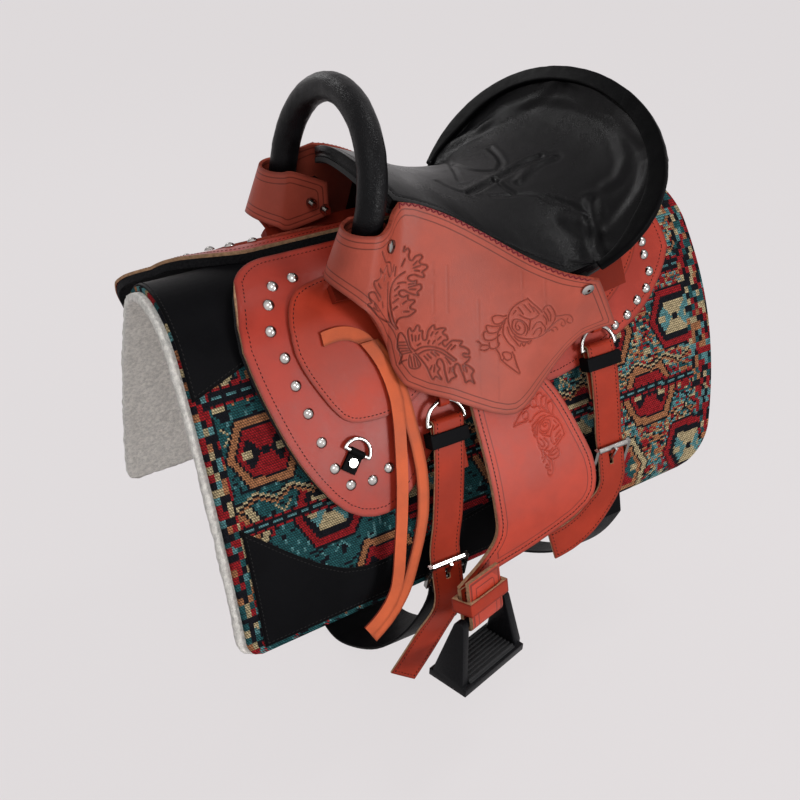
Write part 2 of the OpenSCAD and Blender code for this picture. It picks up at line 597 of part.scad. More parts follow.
// Hand loop: steel tube with two bolting plates, and its leather wrap
core_d = handle_d - 2 * wrap_t;
core_wall = wrap_t;
wrap_foot_z = sleeve_top_z * 0.8;
module loop(d, foot_z) {
  translate([handle_x, 0, handle_bend_z]) rotate([0, -handle_lean_deg, 0]) {
    rotate([90, 0, 90]) rotate_extrude(angle = 180) translate([leg_y, 0]) circle(d = d);
    for (side = [-1, 1]) translate([0, side * leg_y, foot_z - handle_bend_z])
      cylinder(h = handle_bend_z - foot_z, d = d);
  }
}
module handle_core() color("dimgray") difference() {
  union() {
    loop(core_d, handle_foot_z);
    both_sides() translate([jockey_front * 0.74, plate_y + gap, sleeve_top_z * 0.3])
      cube([jockey_front * 0.34, plate_t - gap, sleeve_top_z * 0.45]);
  }
  loop(core_d - 2 * core_wall, handle_foot_z - overrun);
  both_sides() bolt_places() translate([0, 0, -plate_t - overrun])
    cylinder(h = plate_t + 2 * overrun, d = bolt_d + 2 * run_gap);
}
module handle_wrap() color([0.05, 0.05, 0.05]) difference() {
  loop(handle_d, wrap_foot_z);
  loop(core_d + 2 * run_gap, handle_foot_z);
}

// Breast-collar dees on the skirts, each hinged in a leather tab held by one rivet
breast_x = skirt_front * 0.64;
breast_s = skirt_low * 0.735;
breast_turn = 50;
breast_wire_d = dee_wire_d * 0.9;
breast_w = dee_w * 0.62;
tab_w = breast_w * 0.62;
tab_len = breast_w * 0.85;
tab_t = strap_t * 0.6;
breast_rise = skirt_d + skirt_t + gap + tab_t + run_gap + breast_wire_d / 2;
module dee(w, wire) {
  rotate_extrude(angle = 180) translate([w / 2 + wire / 2, 0]) circle(d = wire);
  translate([-(w + wire) / 2, 0, 0]) rotate([0, 90, 0]) cylinder(h = w + wire, d = wire);
  for (side = [-1, 1]) translate([side * (w + wire) / 2, 0, 0]) sphere(d = wire);
}
module breast_place()
  at(breast_x, breast_s, breast_rise + upper_spread * $flare, breast_turn + 90) children();
module near_breast_dee() color("silver") breast_place() dee(breast_w, breast_wire_d);
module tab() {
  r = breast_wire_d / 2 + run_gap;
  difference() {
    union() {
      rotate([0, 90, 0]) cylinder(h = tab_w, r = r + tab_t, center = true);
      translate([-tab_w / 2, -tab_len, -r - tab_t]) cube([tab_w, tab_len, r + tab_t]);
    }
    rotate([0, 90, 0]) cylinder(h = tab_w + overrun, r = r, center = true);
    translate([0, -tab_len / 2, -r - tab_t - overrun])
      cylinder(h = r + tab_t + 2 * overrun, d = bolt_d + 2 * run_gap);
  }
}
module dee_tabs() color([0.07, 0.07, 0.07]) both_flared() breast_place() tab();
module tab_rivets() color("silver") both_flared() breast_place() translate([0, -tab_len / 2, 0]) {
  r = breast_wire_d / 2 + run_gap + tab_t;
  translate([0, 0, -r]) cylinder(h = r + gap, d = bolt_d);
  translate([0, 0, gap]) cylinder(h = tab_t, d = stud_d * 0.8);
}

// Tie string: a thong laced through the front jockey, with two hanging tails
tie_d = upper_d + upper_t + 3 * gap;
tie_t = strap_t * 0.8;
tie_lace_shares = [[0.68, 0.31, 90], [0.62, 0.305, 90], [0.56, 0.315, 75],
  [0.5, 0.35, 50], [0.47, 0.4, 20]];
tie_front_shares = [[0.5, 0.36, 0], [0.45, 0.45, 0], [0.425, 0.59, 0], [0.45, 0.77, 0],
  [0.485, 0.95, 0], [0.535, 1.14, 0], [0.58, 1.29, -20], [0.66, 1.375, -50], [0.74, 1.42, -60]];
tie_rear_shares = [[0.47, 0.36, 0], [0.4, 0.5, 0], [0.38, 0.68, 0], [0.37, 0.87, 0],
  [0.4, 1.05, 0], [0.48, 1.22, 0], [0.55, 1.33, -25], [0.64, 1.41, -55], [0.72, 1.455, -62]];
function tie_rows(table, d) =
  spline([for (p = table) let (x = p[0] * skirt_front, s = p[1] * skirt_low)
    [x, s, d + 2 * upper_spread * flare(x, s), p[2]]], 2);
module near_tie_string() color([0.75, 0.34, 0.2]) {
  strap(tie_rows(tie_lace_shares, tie_d), tie_w, tie_t);
  strap(tie_rows(tie_front_shares, tie_d + tie_t - overrun / 4), tie_w, tie_t);
  strap(tie_rows(tie_rear_shares, tie_d), tie_w, tie_t);
}

// Rigging: dees that hang from straps on the bars
strap_d0 = upper_d + upper_t + gap;
fold_r = dee_wire_d / 2 + gap;
dee_d = strap_d0 + strap_t + fold_r + 3 * gap;
rig_w = billet_w * 0.6;
rig_top_s = pad_drop * bar_low_share + 2 * gap;
dee_arc = dee_w / 2 + dee_wire_d / 2;
module dee_at(x, s) at(x, s, dee_d, 180) dee(dee_w, dee_wire_d);
module rigging_dees() color("silver") both_sides() {
  dee_at(front_x, front_dee_s);
  dee_at(-rear_x, rear_dee_s);
}
rig_strap_w = rig_w / 2;
rig_sag = rig_strap_w * rig_strap_w / (8 * dee_arc);
rig_fold_r = dee_wire_d / 2 + 2 * gap + rig_sag / 2;
module rig_strap(x, s_bar) {
  s_top = s_bar - (dee_arc - rig_sag / 2) * side_r / (side_r + dee_d);
  rows = [for (i = [0 : fold_steps]) let (a = i * 180 / fold_steps)
    [x, s_top + rig_fold_r * sin(a), dee_d + rig_fold_r * cos(a), 0]];
  strap(
    concat([[x, rig_top_s + strap_t, dee_d + rig_fold_r, 0]], rows, [[x, rig_top_s, dee_d - rig_fold_r, 0]]),
        rig_strap_w, strap_t);
}
module rigging_straps() color([0.45, 0.18, 0.11]) both_sides() {
  rig_strap(front_x, front_dee_s);
  rig_strap(-rear_x, rear_dee_s);
}

// Billets: folded over a dee, down through a buckle and on to a loose tail
buckle_d = strap_d0 + strap_t / 6;
back_run = billet_w * 1.5;
front_lean = 26;
function front_x_at(s) = front_x + front_lean * (s - front_dee_s) / (front_buckle_s - front_dee_s);
tail_len = 150;
front_tail_shares = [[0.03, 0.13, -0.05, -10], [0.1, 0.31, -0.14, -22], [0.22, 0.49, -0.18, -32],
  [0.37, 0.67, -0.2, -38]];
rear_tail_shares = [[0.1, 0.12, -0.02, -25], [0.27, 0.27, -0.04, -50], [0.44, 0.34, -0.05, -68],
  [0.6, 0.36, -0.055, -78]];
heel_gap = buckle_len + billet_w / 2;
function billet_rows(x0, x1, s0, s1, tail) = concat(
  fold_rows(x0, s0, dee_d, fold_r, back_run),
  spline(concat(
    [[x0 + (x1 - x0) * 0.25, s0 + (s1 - s0) * 0.25, dee_d + fold_r, 0],
     [x0 + (x1 - x0) * 0.7, s0 + (s1 - s0) * 0.7, buckle_d + strap_t, 0],
     [x1, s1 - buckle_len / 2, buckle_d, 0], [x1, s1 + buckle_len + billet_w / 3, buckle_d, 0]],
    [for (p = tail)
      [x1 + p[0] * tail_len, s1 + heel_gap + p[1] * tail_len, buckle_d + p[2] * tail_len, p[3]]]), 2));
hole_d = 5;
module tongue_slot(x, s) at(x, s + buckle_len * 0.6, buckle_d - strap_t)
  translate([-hole_d / 2, -buckle_len / 4, 0]) cube([hole_d, buckle_len / 2, 3 * strap_t]);
module near_front_billet() color([0.55, 0.22, 0.13]) difference() {
  strap(
    billet_rows(front_x, front_x_at(front_buckle_s), front_dee_s, front_buckle_s, front_tail_shares),
    billet_w, strap_t);
  tongue_slot(front_x_at(front_buckle_s), front_buckle_s);
}
module near_rear_billet() color([0.55, 0.22, 0.13]) difference() {
  strap(billet_rows(-rear_x, -rear_x, rear_dee_s, rear_buckle_s, rear_tail_shares), billet_w, strap_t);
  tongue_slot(-rear_x, rear_buckle_s);
}

// Keepers: black bands round the two runs of each billet
keeper_w = billet_w * 0.42;
keeper_in = [billet_w + 3 * overrun, 2 * (fold_r + strap_t) + overrun];
module keeper(x, s) at(x, s, dee_d) difference() {
  cube([keeper_in[0] + 2 * tab_t, keeper_w, keeper_in[1] + 2 * tab_t], center = true);
  cube([keeper_in[0], keeper_w + overrun, keeper_in[1]], center = true);
}
module billet_keepers() color([0.06, 0.06, 0.06]) both_sides() {
  keeper(front_x_at(front_dee_s + keeper_w), front_dee_s + keeper_w);
  keeper(-rear_x, rear_dee_s + keeper_w);
}

// Buckles: the strap runs under the roller and over the heel bar, with the tongue through it
roller_r = roller_d / 2;
roller_d0 = buckle_d + strap_t + gap + roller_r;
heel_fold_r = buckle_wire_d / 2 + gap;
heel_d0 = buckle_d - 3 * gap - strap_t - heel_fold_r;
tilt_deg = atan2(roller_d0 - heel_d0, buckle_len);
side_len = sqrt(buckle_len * buckle_len + pow(roller_d0 - heel_d0, 2));
half_w = (buckle_w + buckle_wire_d) / 2;
module buckle_places() both_sides() {
  at(front_x_at(front_buckle_s), front_buckle_s, roller_d0) rotate([-tilt_deg, 0, 0]) children();
  at(-rear_x, rear_buckle_s, roller_d0) rotate([-tilt_deg, 0, 0]) children();
}
side_bar_t = buckle_wire_d * 1.2;
module frame_wire() {
  for (y = [0, side_len])
    translate([-half_w, y, 0]) rotate([0, 90, 0]) cylinder(h = 2 * half_w, d = buckle_wire_d);
  for (side = [-1, 1]) translate([side * half_w, side_len / 2, 0])
    cube([buckle_wire_d, side_len + side_bar_t, side_bar_t], center = true);
}
module buckle_frames() color("silver") buckle_places() frame_wire();
tongue_d = hole_d * 0.64;
eye_d = buckle_wire_d + 2 * run_gap;
tongue_w = tongue_d * 0.9;
tongue_len = side_len + roller_r - (eye_d + tongue_w) / 2;
tongue_rise = atan2(roller_r + tongue_d / 2 + gap, side_len - roller_r);
module tongue() difference() {
  union() {
    translate([0, side_len, 0]) rotate([0, 90, 0])
      cylinder(h = tongue_d, d = eye_d + tongue_d, center = true);
    translate([0, side_len, 0]) rotate([90 - tongue_rise, 0, 0])
      translate([-tongue_w / 2, -tongue_w / 2, (eye_d + tongue_w) / 2]) cube([tongue_w, tongue_w, tongue_len]);
  }
  translate([0, side_len, 0]) rotate([0, 90, 0]) cylinder(h = hole_d, d = eye_d, center = true);
}
module buckle_tongues() color("silver") buckle_places() tongue();
module roller() rotate([0, 90, 0]) difference() {
  cylinder(h = buckle_w - 2 * gap, d = roller_d, center = true);
  cylinder(h = buckle_w + overrun, d = buckle_wire_d + 2 * run_gap, center = true);
}
module near_front_roller() color("silver")
  at(front_x_at(front_buckle_s), front_buckle_s, roller_d0) roller();
module near_rear_roller() color("silver") at(-rear_x, rear_buckle_s, roller_d0) roller();

// Bands under the belly: a folded end on each heel bar and a slack curve between
band_shares = [[0.9, 0.735], [0.72, 0.83], [0.47, 0.91], [0.22, 0.975], [0.07, 1]];
module band(x, s, w_end, w, depth, t) {
  heel = [0, buckle_len, heel_d0 - roller_d0];
  heel_s = s + buckle_len;
  turn_s = max(heel_s + billet_w / 2, pad_drop + billet_w / 4);
  function cross_row(y, z) = [for (e = [w_end / 2, -w_end / 2]) placed(x, s, roller_d0, heel + [e, y, z])];
  fold = concat([cross_row(billet_w / 4, heel_fold_r)],
    [for (i = [0 : fold_steps]) let (a = i * 180 / fold_steps)
      cross_row(-heel_fold_r * sin(a), heel_fold_r * cos(a))]);
  turn = flank(x, turn_s, heel_d0 - heel_fold_r);
  line = concat([turn], [for (q = band_shares) [x, turn[1] * q[0], -depth * q[1]]]);
  wide = [for (i = [0 : len(line) - 1]) let (h = (i == 0 ? w_end : i == 1 ? (w + w_end) / 2 : w) / 2)
    [line[i] + [h, 0, 0], line[i] - [h, 0, 0]]];
  half = concat(fold, wide);
  function other(row) = [for (p = row) [p[0], -p[1], p[2]]];
  g = concat(half, [for (i = [len(half) - 1 : -1 : 0]) other(half[i])]);
  difference() {
    slab(g, raise(g, -t));
    both_sides() at(x, s, roller_d0) translate(heel + [-hole_d, -side_len / 2, -side_len / 2])
      cube([2 * hole_d, side_len * 0.8, side_len]);
  }
}
module girth() color([0.07, 0.07, 0.07])
  band(front_x_at(front_buckle_s), front_buckle_s, billet_w, girth_w, girth_z, strap_t);
module flank_strap() color([0.07, 0.07, 0.07])
  band(-rear_x, rear_buckle_s, flank_w, flank_w, flank_z, strap_t);

// Stirrup hangers: a headed pin in each bar, square to the flank
hanger_head = strap_t;
module stirrup_hangers() color("silver") both_sides() at(hanger_x, hanger_s, bar_d) {
  cylinder(h = bar_t + 2 * gap + fender_t, d = hanger_d);
  translate([0, 0, bar_t + 2 * gap + fender_t]) cylinder(h = hanger_head, d = hanger_d * 1.7);
}

// Fender: hangs on the hanger pin and ends in a loop round the stirrup's top bar
fender_reach = 112;
fender_front_shares = [[0.2, 0.285], [0.25, 0.415], [0.26, 0.53], [0.24, 0.65], [0.23, 0.777], [0.25, 0.87],
  [0.45, 0.93], [0.79, 0.965]];
fender_rear_shares = [[-0.3, 0.285], [-0.46, 0.415], [-0.71, 0.53], [-0.875, 0.65],
  [-1, 0.777], [-0.875, 0.88],
  [-0.25, 0.945], [0.36, 0.98]];
fender_rise = 11;
loop_w = 50;
loop_len = 24;
stirrup_s = fender_low + loop_len;
fender_bulge_shares = [0.4, 0.4];
fender_twist_shares = [0.85, 0.15];
function fender_out(s) =
  fender_d + fender_rise * ease((s / fender_low - fender_bulge_shares[0]) / fender_bulge_shares[1]);
function fender_at(x, s) = fender_out(s) + max(x - stirrup_x, -loop_w / 2) * tan(stirrup_yaw_deg)
  * ease((s / fender_low - fender_twist_shares[0]) / fender_twist_shares[1]);
loop_r = stirrup_bar_d / 2 + 3 * gap;
stirrup_d = fender_out(fender_low) + fender_t + loop_r;
module near_fender() color([0.56, 0.23, 0.14]) difference() {
  union() {
    flat = ruled(spline(times(fender_rear_shares, [fender_reach, fender_low]), 3),
                 spline(times(fender_front_shares, [fender_reach, fender_low]), 3), 6);
    g = [for (row = flat) [for (p = row) flank(p[0], p[1], fender_at(p[0], p[1]))]];
    slab(
      [for (row = flip(flat)) [for (p = row) flank(p[0], p[1], fender_at(p[0], p[1]) + fender_t)]],
      flip(g));
    strap(concat(
      [[stirrup_x, fender_low - loop_len, stirrup_d + loop_r, 0, stirrup_yaw_deg]],
      [for (i = [0 : fold_steps]) let (a = i * 180 / fold_steps)
        [stirrup_x, stirrup_s + loop_r * sin(a), stirrup_d + loop_r * cos(a), 0, stirrup_yaw_deg]],
      [[stirrup_x, fender_low - loop_len / 2, stirrup_d - loop_r, 0, stirrup_yaw_deg]]), loop_w, fender_t);
  }
  at(hanger_x, hanger_s, bar_d) cylinder(h = fender_d, d = hanger_d + 2 * run_gap);
}
hobble_w = 17;
hobble_s = fender_low + hobble_w / 4;
hobble_in = [loop_w / cos(stirrup_yaw_deg) + 2 * (loop_r + fender_t + gap) * sin(stirrup_yaw_deg),
  2 * (loop_r + fender_t + 2 * gap)];
module near_hobble_strap() color([0.58, 0.25, 0.15])
  at(stirrup_x, hobble_s, stirrup_d) rotate([0, -stirrup_yaw_deg, 0]) difference() {
    cube([hobble_in[0] + 2 * strap_t, hobble_w, hobble_in[1] + 2 * strap_t], center = true);
    cube([hobble_in[0], hobble_w + overrun, hobble_in[1]], center = true);
  }

// Stirrup: top bar, two arms that spread downwards, and a wide tread with a ribbed pad
arm_t = 9;
tread_t = 9;
top_w = loop_w + 4 * overrun + 2 * strap_t;
bar_dir = unit([1, tan(stirrup_yaw_deg) * sin(slope(stirrup_s)),
  tan(stirrup_yaw_deg) * cos(slope(stirrup_s))]);
module stirrup_place() translate(flank(stirrup_x, stirrup_s, stirrup_d))
  rotate([0, -asin(bar_dir[2]), atan2(bar_dir[1], bar_dir[0])]) children();
module near_stirrup() color([0.1, 0.1, 0.11]) stirrup_place() {
  rotate([0, 90, 0]) cylinder(h = top_w + arm_t, d = stirrup_bar_d, center = true);
  for (side = [-1, 1]) hull() {
    translate([side * (top_w + arm_t) / 2, 0, 0]) rotate([0, 90, 0])
      cylinder(h = arm_t, d = stirrup_bar_d * 1.6, center = true, $fn = 24);
    translate([side * (stirrup_w + arm_t) / 2, 0, -stirrup_h])
      cube([arm_t, tread_d * 0.8, arm_t], center = true);
  }
  translate([0, 0, -stirrup_h - tread_t / 2])
    cube([stirrup_w + 2 * arm_t, tread_d, tread_t], center = true);
}
pad_t = 4;
rib_n = 9;
module near_tread() color([0.05, 0.05, 0.05]) stirrup_place() translate([0, 0, -stirrup_h + gap / 3]) {
  translate([-stirrup_w * 0.46, -tread_d * 0.44, 0]) cube([stirrup_w * 0.92, tread_d * 0.88, pad_t / 2]);
  for (i = [0 : rib_n - 1])
    translate([-stirrup_w * 0.46, -tread_d * 0.44 + tread_d * 0.88 * i / rib_n, pad_t / 4])
    cube([stirrup_w * 0.92, tread_d * 0.44 / rib_n, pad_t * 3 / 4]);
}

pad_fleece();
pad_carpet();
withers_patch();
near_wear_patch();
off_side() near_wear_patch();  // off_wear_patch
near_skirt_felt();
off_flared() near_skirt_felt();  // off_skirt_felt
near_skirt();
off_flared() near_skirt();  // off_skirt
near_front_jockey();
off_flared() near_front_jockey();  // off_front_jockey
near_rear_jockey();
off_side() near_rear_jockey();  // off_rear_jockey
skirt_studs();
near_tree_bar();
off_side() near_tree_bar();  // off_tree_bar
front_arch();
rear_arch();
ground_seat();
seat_cushion();
cantle_rim();
cantle_back();
near_seat_jockey();
off_side() near_seat_jockey();  // off_seat_jockey
jockey_screws();
handle_core();
handle_wrap();
handle_bolts();
near_breast_dee();
off_flared() near_breast_dee();  // off_breast_dee
dee_tabs();
tab_rivets();
near_tie_string();
off_flared() near_tie_string();  // off_tie_string
rigging_dees();
rigging_straps();
near_front_billet();
off_side() near_front_billet();  // off_front_billet
near_rear_billet();
off_side() near_rear_billet();  // off_rear_billet
billet_keepers();
girth();
flank_strap();
buckle_frames();
buckle_tongues();
near_front_roller();
off_side() near_front_roller();  // off_front_roller
near_rear_roller();
off_side() near_rear_roller();  // off_rear_roller
stirrup_hangers();
near_fender();
off_side() near_fender();  // off_fender
near_hobble_strap();
off_side() near_hobble_strap();  // off_hobble_strap
near_stirrup();
off_side() near_stirrup();  // off_stirrup
near_tread();
off_side() near_tread();  // off_tread
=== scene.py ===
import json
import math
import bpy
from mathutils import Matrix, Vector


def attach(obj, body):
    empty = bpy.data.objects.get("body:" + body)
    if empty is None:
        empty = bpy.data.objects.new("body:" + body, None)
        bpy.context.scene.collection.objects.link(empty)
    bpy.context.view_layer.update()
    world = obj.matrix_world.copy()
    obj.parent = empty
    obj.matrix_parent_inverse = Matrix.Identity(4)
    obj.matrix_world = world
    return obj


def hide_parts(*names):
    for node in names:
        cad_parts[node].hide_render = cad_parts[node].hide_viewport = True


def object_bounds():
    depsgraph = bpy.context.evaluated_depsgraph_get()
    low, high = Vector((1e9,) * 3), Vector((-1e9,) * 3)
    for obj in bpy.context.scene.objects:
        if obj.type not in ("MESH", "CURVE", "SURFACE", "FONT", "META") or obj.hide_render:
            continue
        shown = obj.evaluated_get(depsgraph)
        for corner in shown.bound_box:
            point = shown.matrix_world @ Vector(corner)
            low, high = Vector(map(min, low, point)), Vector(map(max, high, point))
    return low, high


bl_info = {
    "name": "Endurance saddle",
    "version": (1, 0, 0),
    "blender": (4, 5, 0),
    "location": "View3D > Sidebar > Saddle",
    "description": "Dresses an endurance saddle in leather, kilim, fleece and nickel",
    "category": "Object",
}

import bmesh
import bpy
import numpy as np
from bpy.props import FloatProperty, FloatVectorProperty, PointerProperty
from mathutils import Matrix, Vector
from mathutils import noise as field
from mathutils.bvhtree import BVHTree
from mathutils.kdtree import KDTree

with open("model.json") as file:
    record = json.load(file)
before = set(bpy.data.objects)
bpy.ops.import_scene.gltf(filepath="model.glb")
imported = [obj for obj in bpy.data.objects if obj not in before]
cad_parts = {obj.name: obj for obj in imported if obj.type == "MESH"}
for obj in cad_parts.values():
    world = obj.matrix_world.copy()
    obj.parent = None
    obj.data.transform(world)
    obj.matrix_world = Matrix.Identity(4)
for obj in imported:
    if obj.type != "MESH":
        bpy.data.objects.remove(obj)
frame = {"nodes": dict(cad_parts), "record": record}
CAD_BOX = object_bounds()
BODY_OF = {n: b for b, ns in frame["record"]["behaviour"]["bodies"].items() for n in ns}

# The pad's cross-section: a crown arc that runs on into a long side arc
CROWN_R = 0.070
CROWN = math.radians(62)
CROWN_ARC = CROWN_R * CROWN
PAD_DROP = 0.379
SIDE_R = (PAD_DROP - CROWN_ARC) / math.radians(76 - 62)
SIDE_C = ((CROWN_R - SIDE_R) * math.sin(CROWN), -CROWN_R + (CROWN_R - SIDE_R) * math.cos(CROWN))
PAD_HALF = 0.321
PAD_BOW = 0.026
PAD_SKEW = 0.011

# Folds sharper than this are edges of a sheet
FOLD = math.radians(38)
# A face strip narrower than this is a cut edge
CUT_STRIP = 0.0028
# Inset given to pieces without burnished edges, in millimetres
NO_EDGE = 20.0

# The photograph's camera
EYE = Vector((0.58870, 0.95766, 0.51965))
EYE_TURN = math.radians(59.42)
EYE_RISE = math.radians(33.19)
FOCAL_PX = 1095.9
FRAME_PX = 800


def colour(name, words, value):
    return FloatVectorProperty(name=name, description=words, default=value, subtype="COLOR", min=0, max=1)


def length(name, words, value):
    return FloatProperty(name=name, description=words, default=value, unit="LENGTH", precision=5)


class SaddleLeather(bpy.types.PropertyGroup):
    skirt: colour("Skirt leather", "Colour of the skirts", (0.35, 0.030, 0.015))
    jockey: colour("Jockey leather", "Colour of the seat jockeys and fenders", (0.37, 0.066, 0.039))
    upper: colour("Upper leather", "Colour of the second layer on the skirts", (0.39, 0.034, 0.013))
    thong: colour("Thong leather", "Colour of the tie strings", (0.56, 0.105, 0.036))
    black: colour("Black leather", "Colour of the patches, girth and wraps", (0.0045, 0.0045, 0.0052))
    cut: colour("Cut edge", "Colour of the leather's cut edges", (0.40, 0.23, 0.13))
    thread: colour("Thread", "Colour of the stitching", (0.018, 0.005, 0.005))
    stitch: length("Stitch", "Length of one stitch", 0.0030)
    pitch: length("Pitch", "Distance from stitch to stitch", 0.0046)
    edge: length("Edge", "Radius of the rounded edges", 0.0009)


class SaddlePad(bpy.types.PropertyGroup):
    knot: length("Knot", "Size of one knot of the woven face", 0.0026)
    pile: length("Pile", "Depth of the fleece's tufts", 0.0022)
    fleece: colour("Fleece", "Colour of the lining", (0.86, 0.82, 0.76))
    teal: colour("Teal", "Ground of the woven face", (0.022, 0.105, 0.112))
    red: colour("Red", "Red yarn", (0.36, 0.016, 0.020))
    ink: colour("Ink", "Dark yarn", (0.010, 0.010, 0.014))
    cream: colour("Cream", "Cream yarn", (0.56, 0.44, 0.25))
    orange: colour("Orange", "Orange yarn", (0.46, 0.19, 0.085))
    mist: colour("Mist", "Pale teal yarn", (0.12, 0.30, 0.31))


class SaddleSeat(bpy.types.PropertyGroup):
    crease: length("Crease", "Depth of the seat's creases", 0.0011)
    cover: colour("Cover", "Colour of the seat's cover", (0.0036, 0.0036, 0.0040))


def looks(group):
    return getattr(bpy.context.scene, "saddle_" + group)


def flank(x, s, d):
    """Points at x along the back, s over the surface from the spine and d above the fleece's underside."""
    x, s, d = np.broadcast_arrays(np.asarray(x, float), np.asarray(s, float), np.asarray(d, float))
    on_crown = np.abs(s) < CROWN_ARC
    a = np.where(on_crown, np.abs(s) / CROWN_R, CROWN + (np.abs(s) - CROWN_ARC) / SIDE_R)
    r = np.where(on_crown, CROWN_R, SIDE_R) + d
    y = np.where(on_crown, 0, SIDE_C[0]) + r * np.sin(a)
    z = np.where(on_crown, -CROWN_R, SIDE_C[1]) + r * np.cos(a)
    return np.stack([x, np.sign(s) * y, z], -1)


def unflank(p):
    """The x, s and d of points near the pad."""
    y, z = np.abs(p[:, 1]), p[:, 2]
    a = np.arctan2(y, z + CROWN_R)
    b = np.arctan2(y - SIDE_C[0], z - SIDE_C[1])
    on_crown = a < CROWN
    s = np.where(on_crown, CROWN_R * a, CROWN_ARC + SIDE_R * (b - CROWN))
    d = np.where(on_crown, np.hypot(y, z + CROWN_R) - CROWN_R,
                 np.hypot(y - SIDE_C[0], z - SIDE_C[1]) - SIDE_R)
    return p[:, 0], s * np.sign(p[:, 1]), d


def eye_axes():
    ce, se, ct, st = math.cos(EYE_RISE), math.sin(EYE_RISE), math.cos(EYE_TURN), math.sin(EYE_TURN)
    back = Vector((ce * ct, ce * st, se))
    right = Vector((-st, ct, 0))
    return right, back.cross(right), back


def ray(px, py):
    right, up, back = eye_axes()
    return (right * (px - FRAME_PX / 2) / FOCAL_PX - up * (py - FRAME_PX / 2) / FOCAL_PX - back).normalized()


def select_only(piece):
    bpy.ops.object.select_all(action="DESELECT")
    piece.select_set(True)
    bpy.context.view_layer.objects.active = piece


def coords(mesh):
    co = np.empty(len(mesh.vertices) * 3)
    mesh.vertices.foreach_get("co", co)
    return co.reshape(-1, 3)


def set_coords(mesh, co):
    mesh.vertices.foreach_set("co", np.asarray(co, float).ravel())
    mesh.update()


def normals(mesh):
    return np.array([v.normal for v in mesh.vertices])


def attribute(mesh, name, values, domain="POINT", kind="FLOAT"):
    layer = mesh.attributes.new(name, kind, domain)
    word = "color" if kind == "FLOAT_COLOR" else "value"
    layer.data.foreach_set(word, np.asarray(values, np.float32).ravel())


def find_tree(points):
    """A search tree over points."""
    tree = KDTree(len(points))
    for i, p in enumerate(points):
        tree.insert(p, i)
    tree.balance()
    return tree


def no_edge(piece):
    """Keeps a piece clear of burnished edges."""
    attribute(piece.data, "inset", np.full(len(piece.data.vertices), NO_EDGE))


def apply(piece, kind, **values):
    """Adds one modifier with these values and applies it."""
    select_only(piece)
    m = piece.modifiers.new(kind.title(), kind)
    for k, v in values.items():
        setattr(m, k, v)
    bpy.ops.object.modifier_apply(modifier=m.name)


def bevel(piece, width, segments=2, angle=FOLD):
    apply(piece, "BEVEL", width=width, segments=segments, limit_method="ANGLE", angle_limit=angle)


def subdivide(piece, levels, simple=False):
    apply(piece, "SUBSURF", levels=levels, render_levels=levels,
          subdivision_type="SIMPLE" if simple else "CATMULL_CLARK")


def copied(node, name):
    """A copy of a node's mesh, merged and back in quads, at the same place."""
    piece = bpy.data.objects.new(name, frame["nodes"][node].data.copy())
    bpy.context.scene.collection.objects.link(piece)
    piece.data.materials.clear()
    select_only(piece)
    bpy.ops.object.mode_set(mode="EDIT")
    bpy.ops.mesh.select_all(action="SELECT")
    bpy.ops.mesh.remove_doubles(threshold=2e-5)
    bpy.ops.mesh.customdata_custom_splitnormals_clear()
    bpy.ops.mesh.tris_convert_to_quads(face_threshold=math.radians(60), shape_threshold=math.radians(70))
    bpy.ops.object.mode_set(mode="OBJECT")
    return piece


def done(piece, node, slot=None, smooth=True, replace=True):
    """The piece takes its node's place on its body."""
    select_only(piece)
    if smooth:
        bpy.ops.object.shade_smooth()
    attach(piece, BODY_OF[node])
    if replace:
        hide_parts(node)
    return piece


def sides(piece, top=False):
    """Marks a sheet's cut edges; finds the loops round its outer side, and a search tree over that side."""
    bm = bmesh.new()
    bm.from_mesh(piece.data)
    bm.faces.ensure_lookup_table()
    label = [-1] * len(bm.faces)
    groups = []
    for f in bm.faces:
        if label[f.index] >= 0:
            continue
        members, stack = [], [f]
        label[f.index] = len(groups)
        while stack:
            g = stack.pop()
            members.append(g)
            for e in g.edges:
                if len(e.link_faces) == 2 and e.calc_face_angle(0) < FOLD:
                    for h in e.link_faces:
                        if label[h.index] < 0:
                            label[h.index] = len(groups)
                            stack.append(h)
        groups.append(members)

    def facing(members):
        total = 0
        for f in members:
            c = f.calc_center_median()
            total += f.calc_area() * f.normal.dot(Vector((0, c.y, c.z + 0.25)).normalized())
        return total

    # A strip no wider than the sheet is thick is a cut edge; the rest faces outwards or inwards
    outer = set()
    cut = set()
    for k, members in enumerate(groups):
        around = sum(e.calc_length() for f in members for e in f.edges
                     if any(label[g.index] != k for g in e.link_faces))
        if sum(f.calc_area() for f in members) < around * CUT_STRIP:
            cut.add(k)
        elif facing(members) > 0:
            outer.add(k)
    if top:
        outer = {max(range(len(groups)), key=lambda k: facing(groups[k]))}
    piece.data.polygons.foreach_set("material_index", [int(k in cut) for k in label])
    after = {}
    faces = [f for k in sorted(outer) for f in groups[k]]
    for f in faces:
        for l in f.loops:
            if any(label[h.index] not in outer for h in l.edge.link_faces):
                after[l.vert.index] = l.link_loop_next.vert.index
    loops = []
    while after:
        k = next(iter(after))
        path = []
        while k in after:
            path.append(k)
            k = after.pop(k)
        loops.append([Vector(piece.data.vertices[i].co) for i in path])
    tree = BVHTree.FromPolygons([v.co.copy() for v in bm.verts], [[v.index for v in f.verts] for f in faces])
    bm.free()
    loops.sort(key=lambda p: -sum((a - b).length for a, b in zip(p, p[1:])))
    return loops, tree


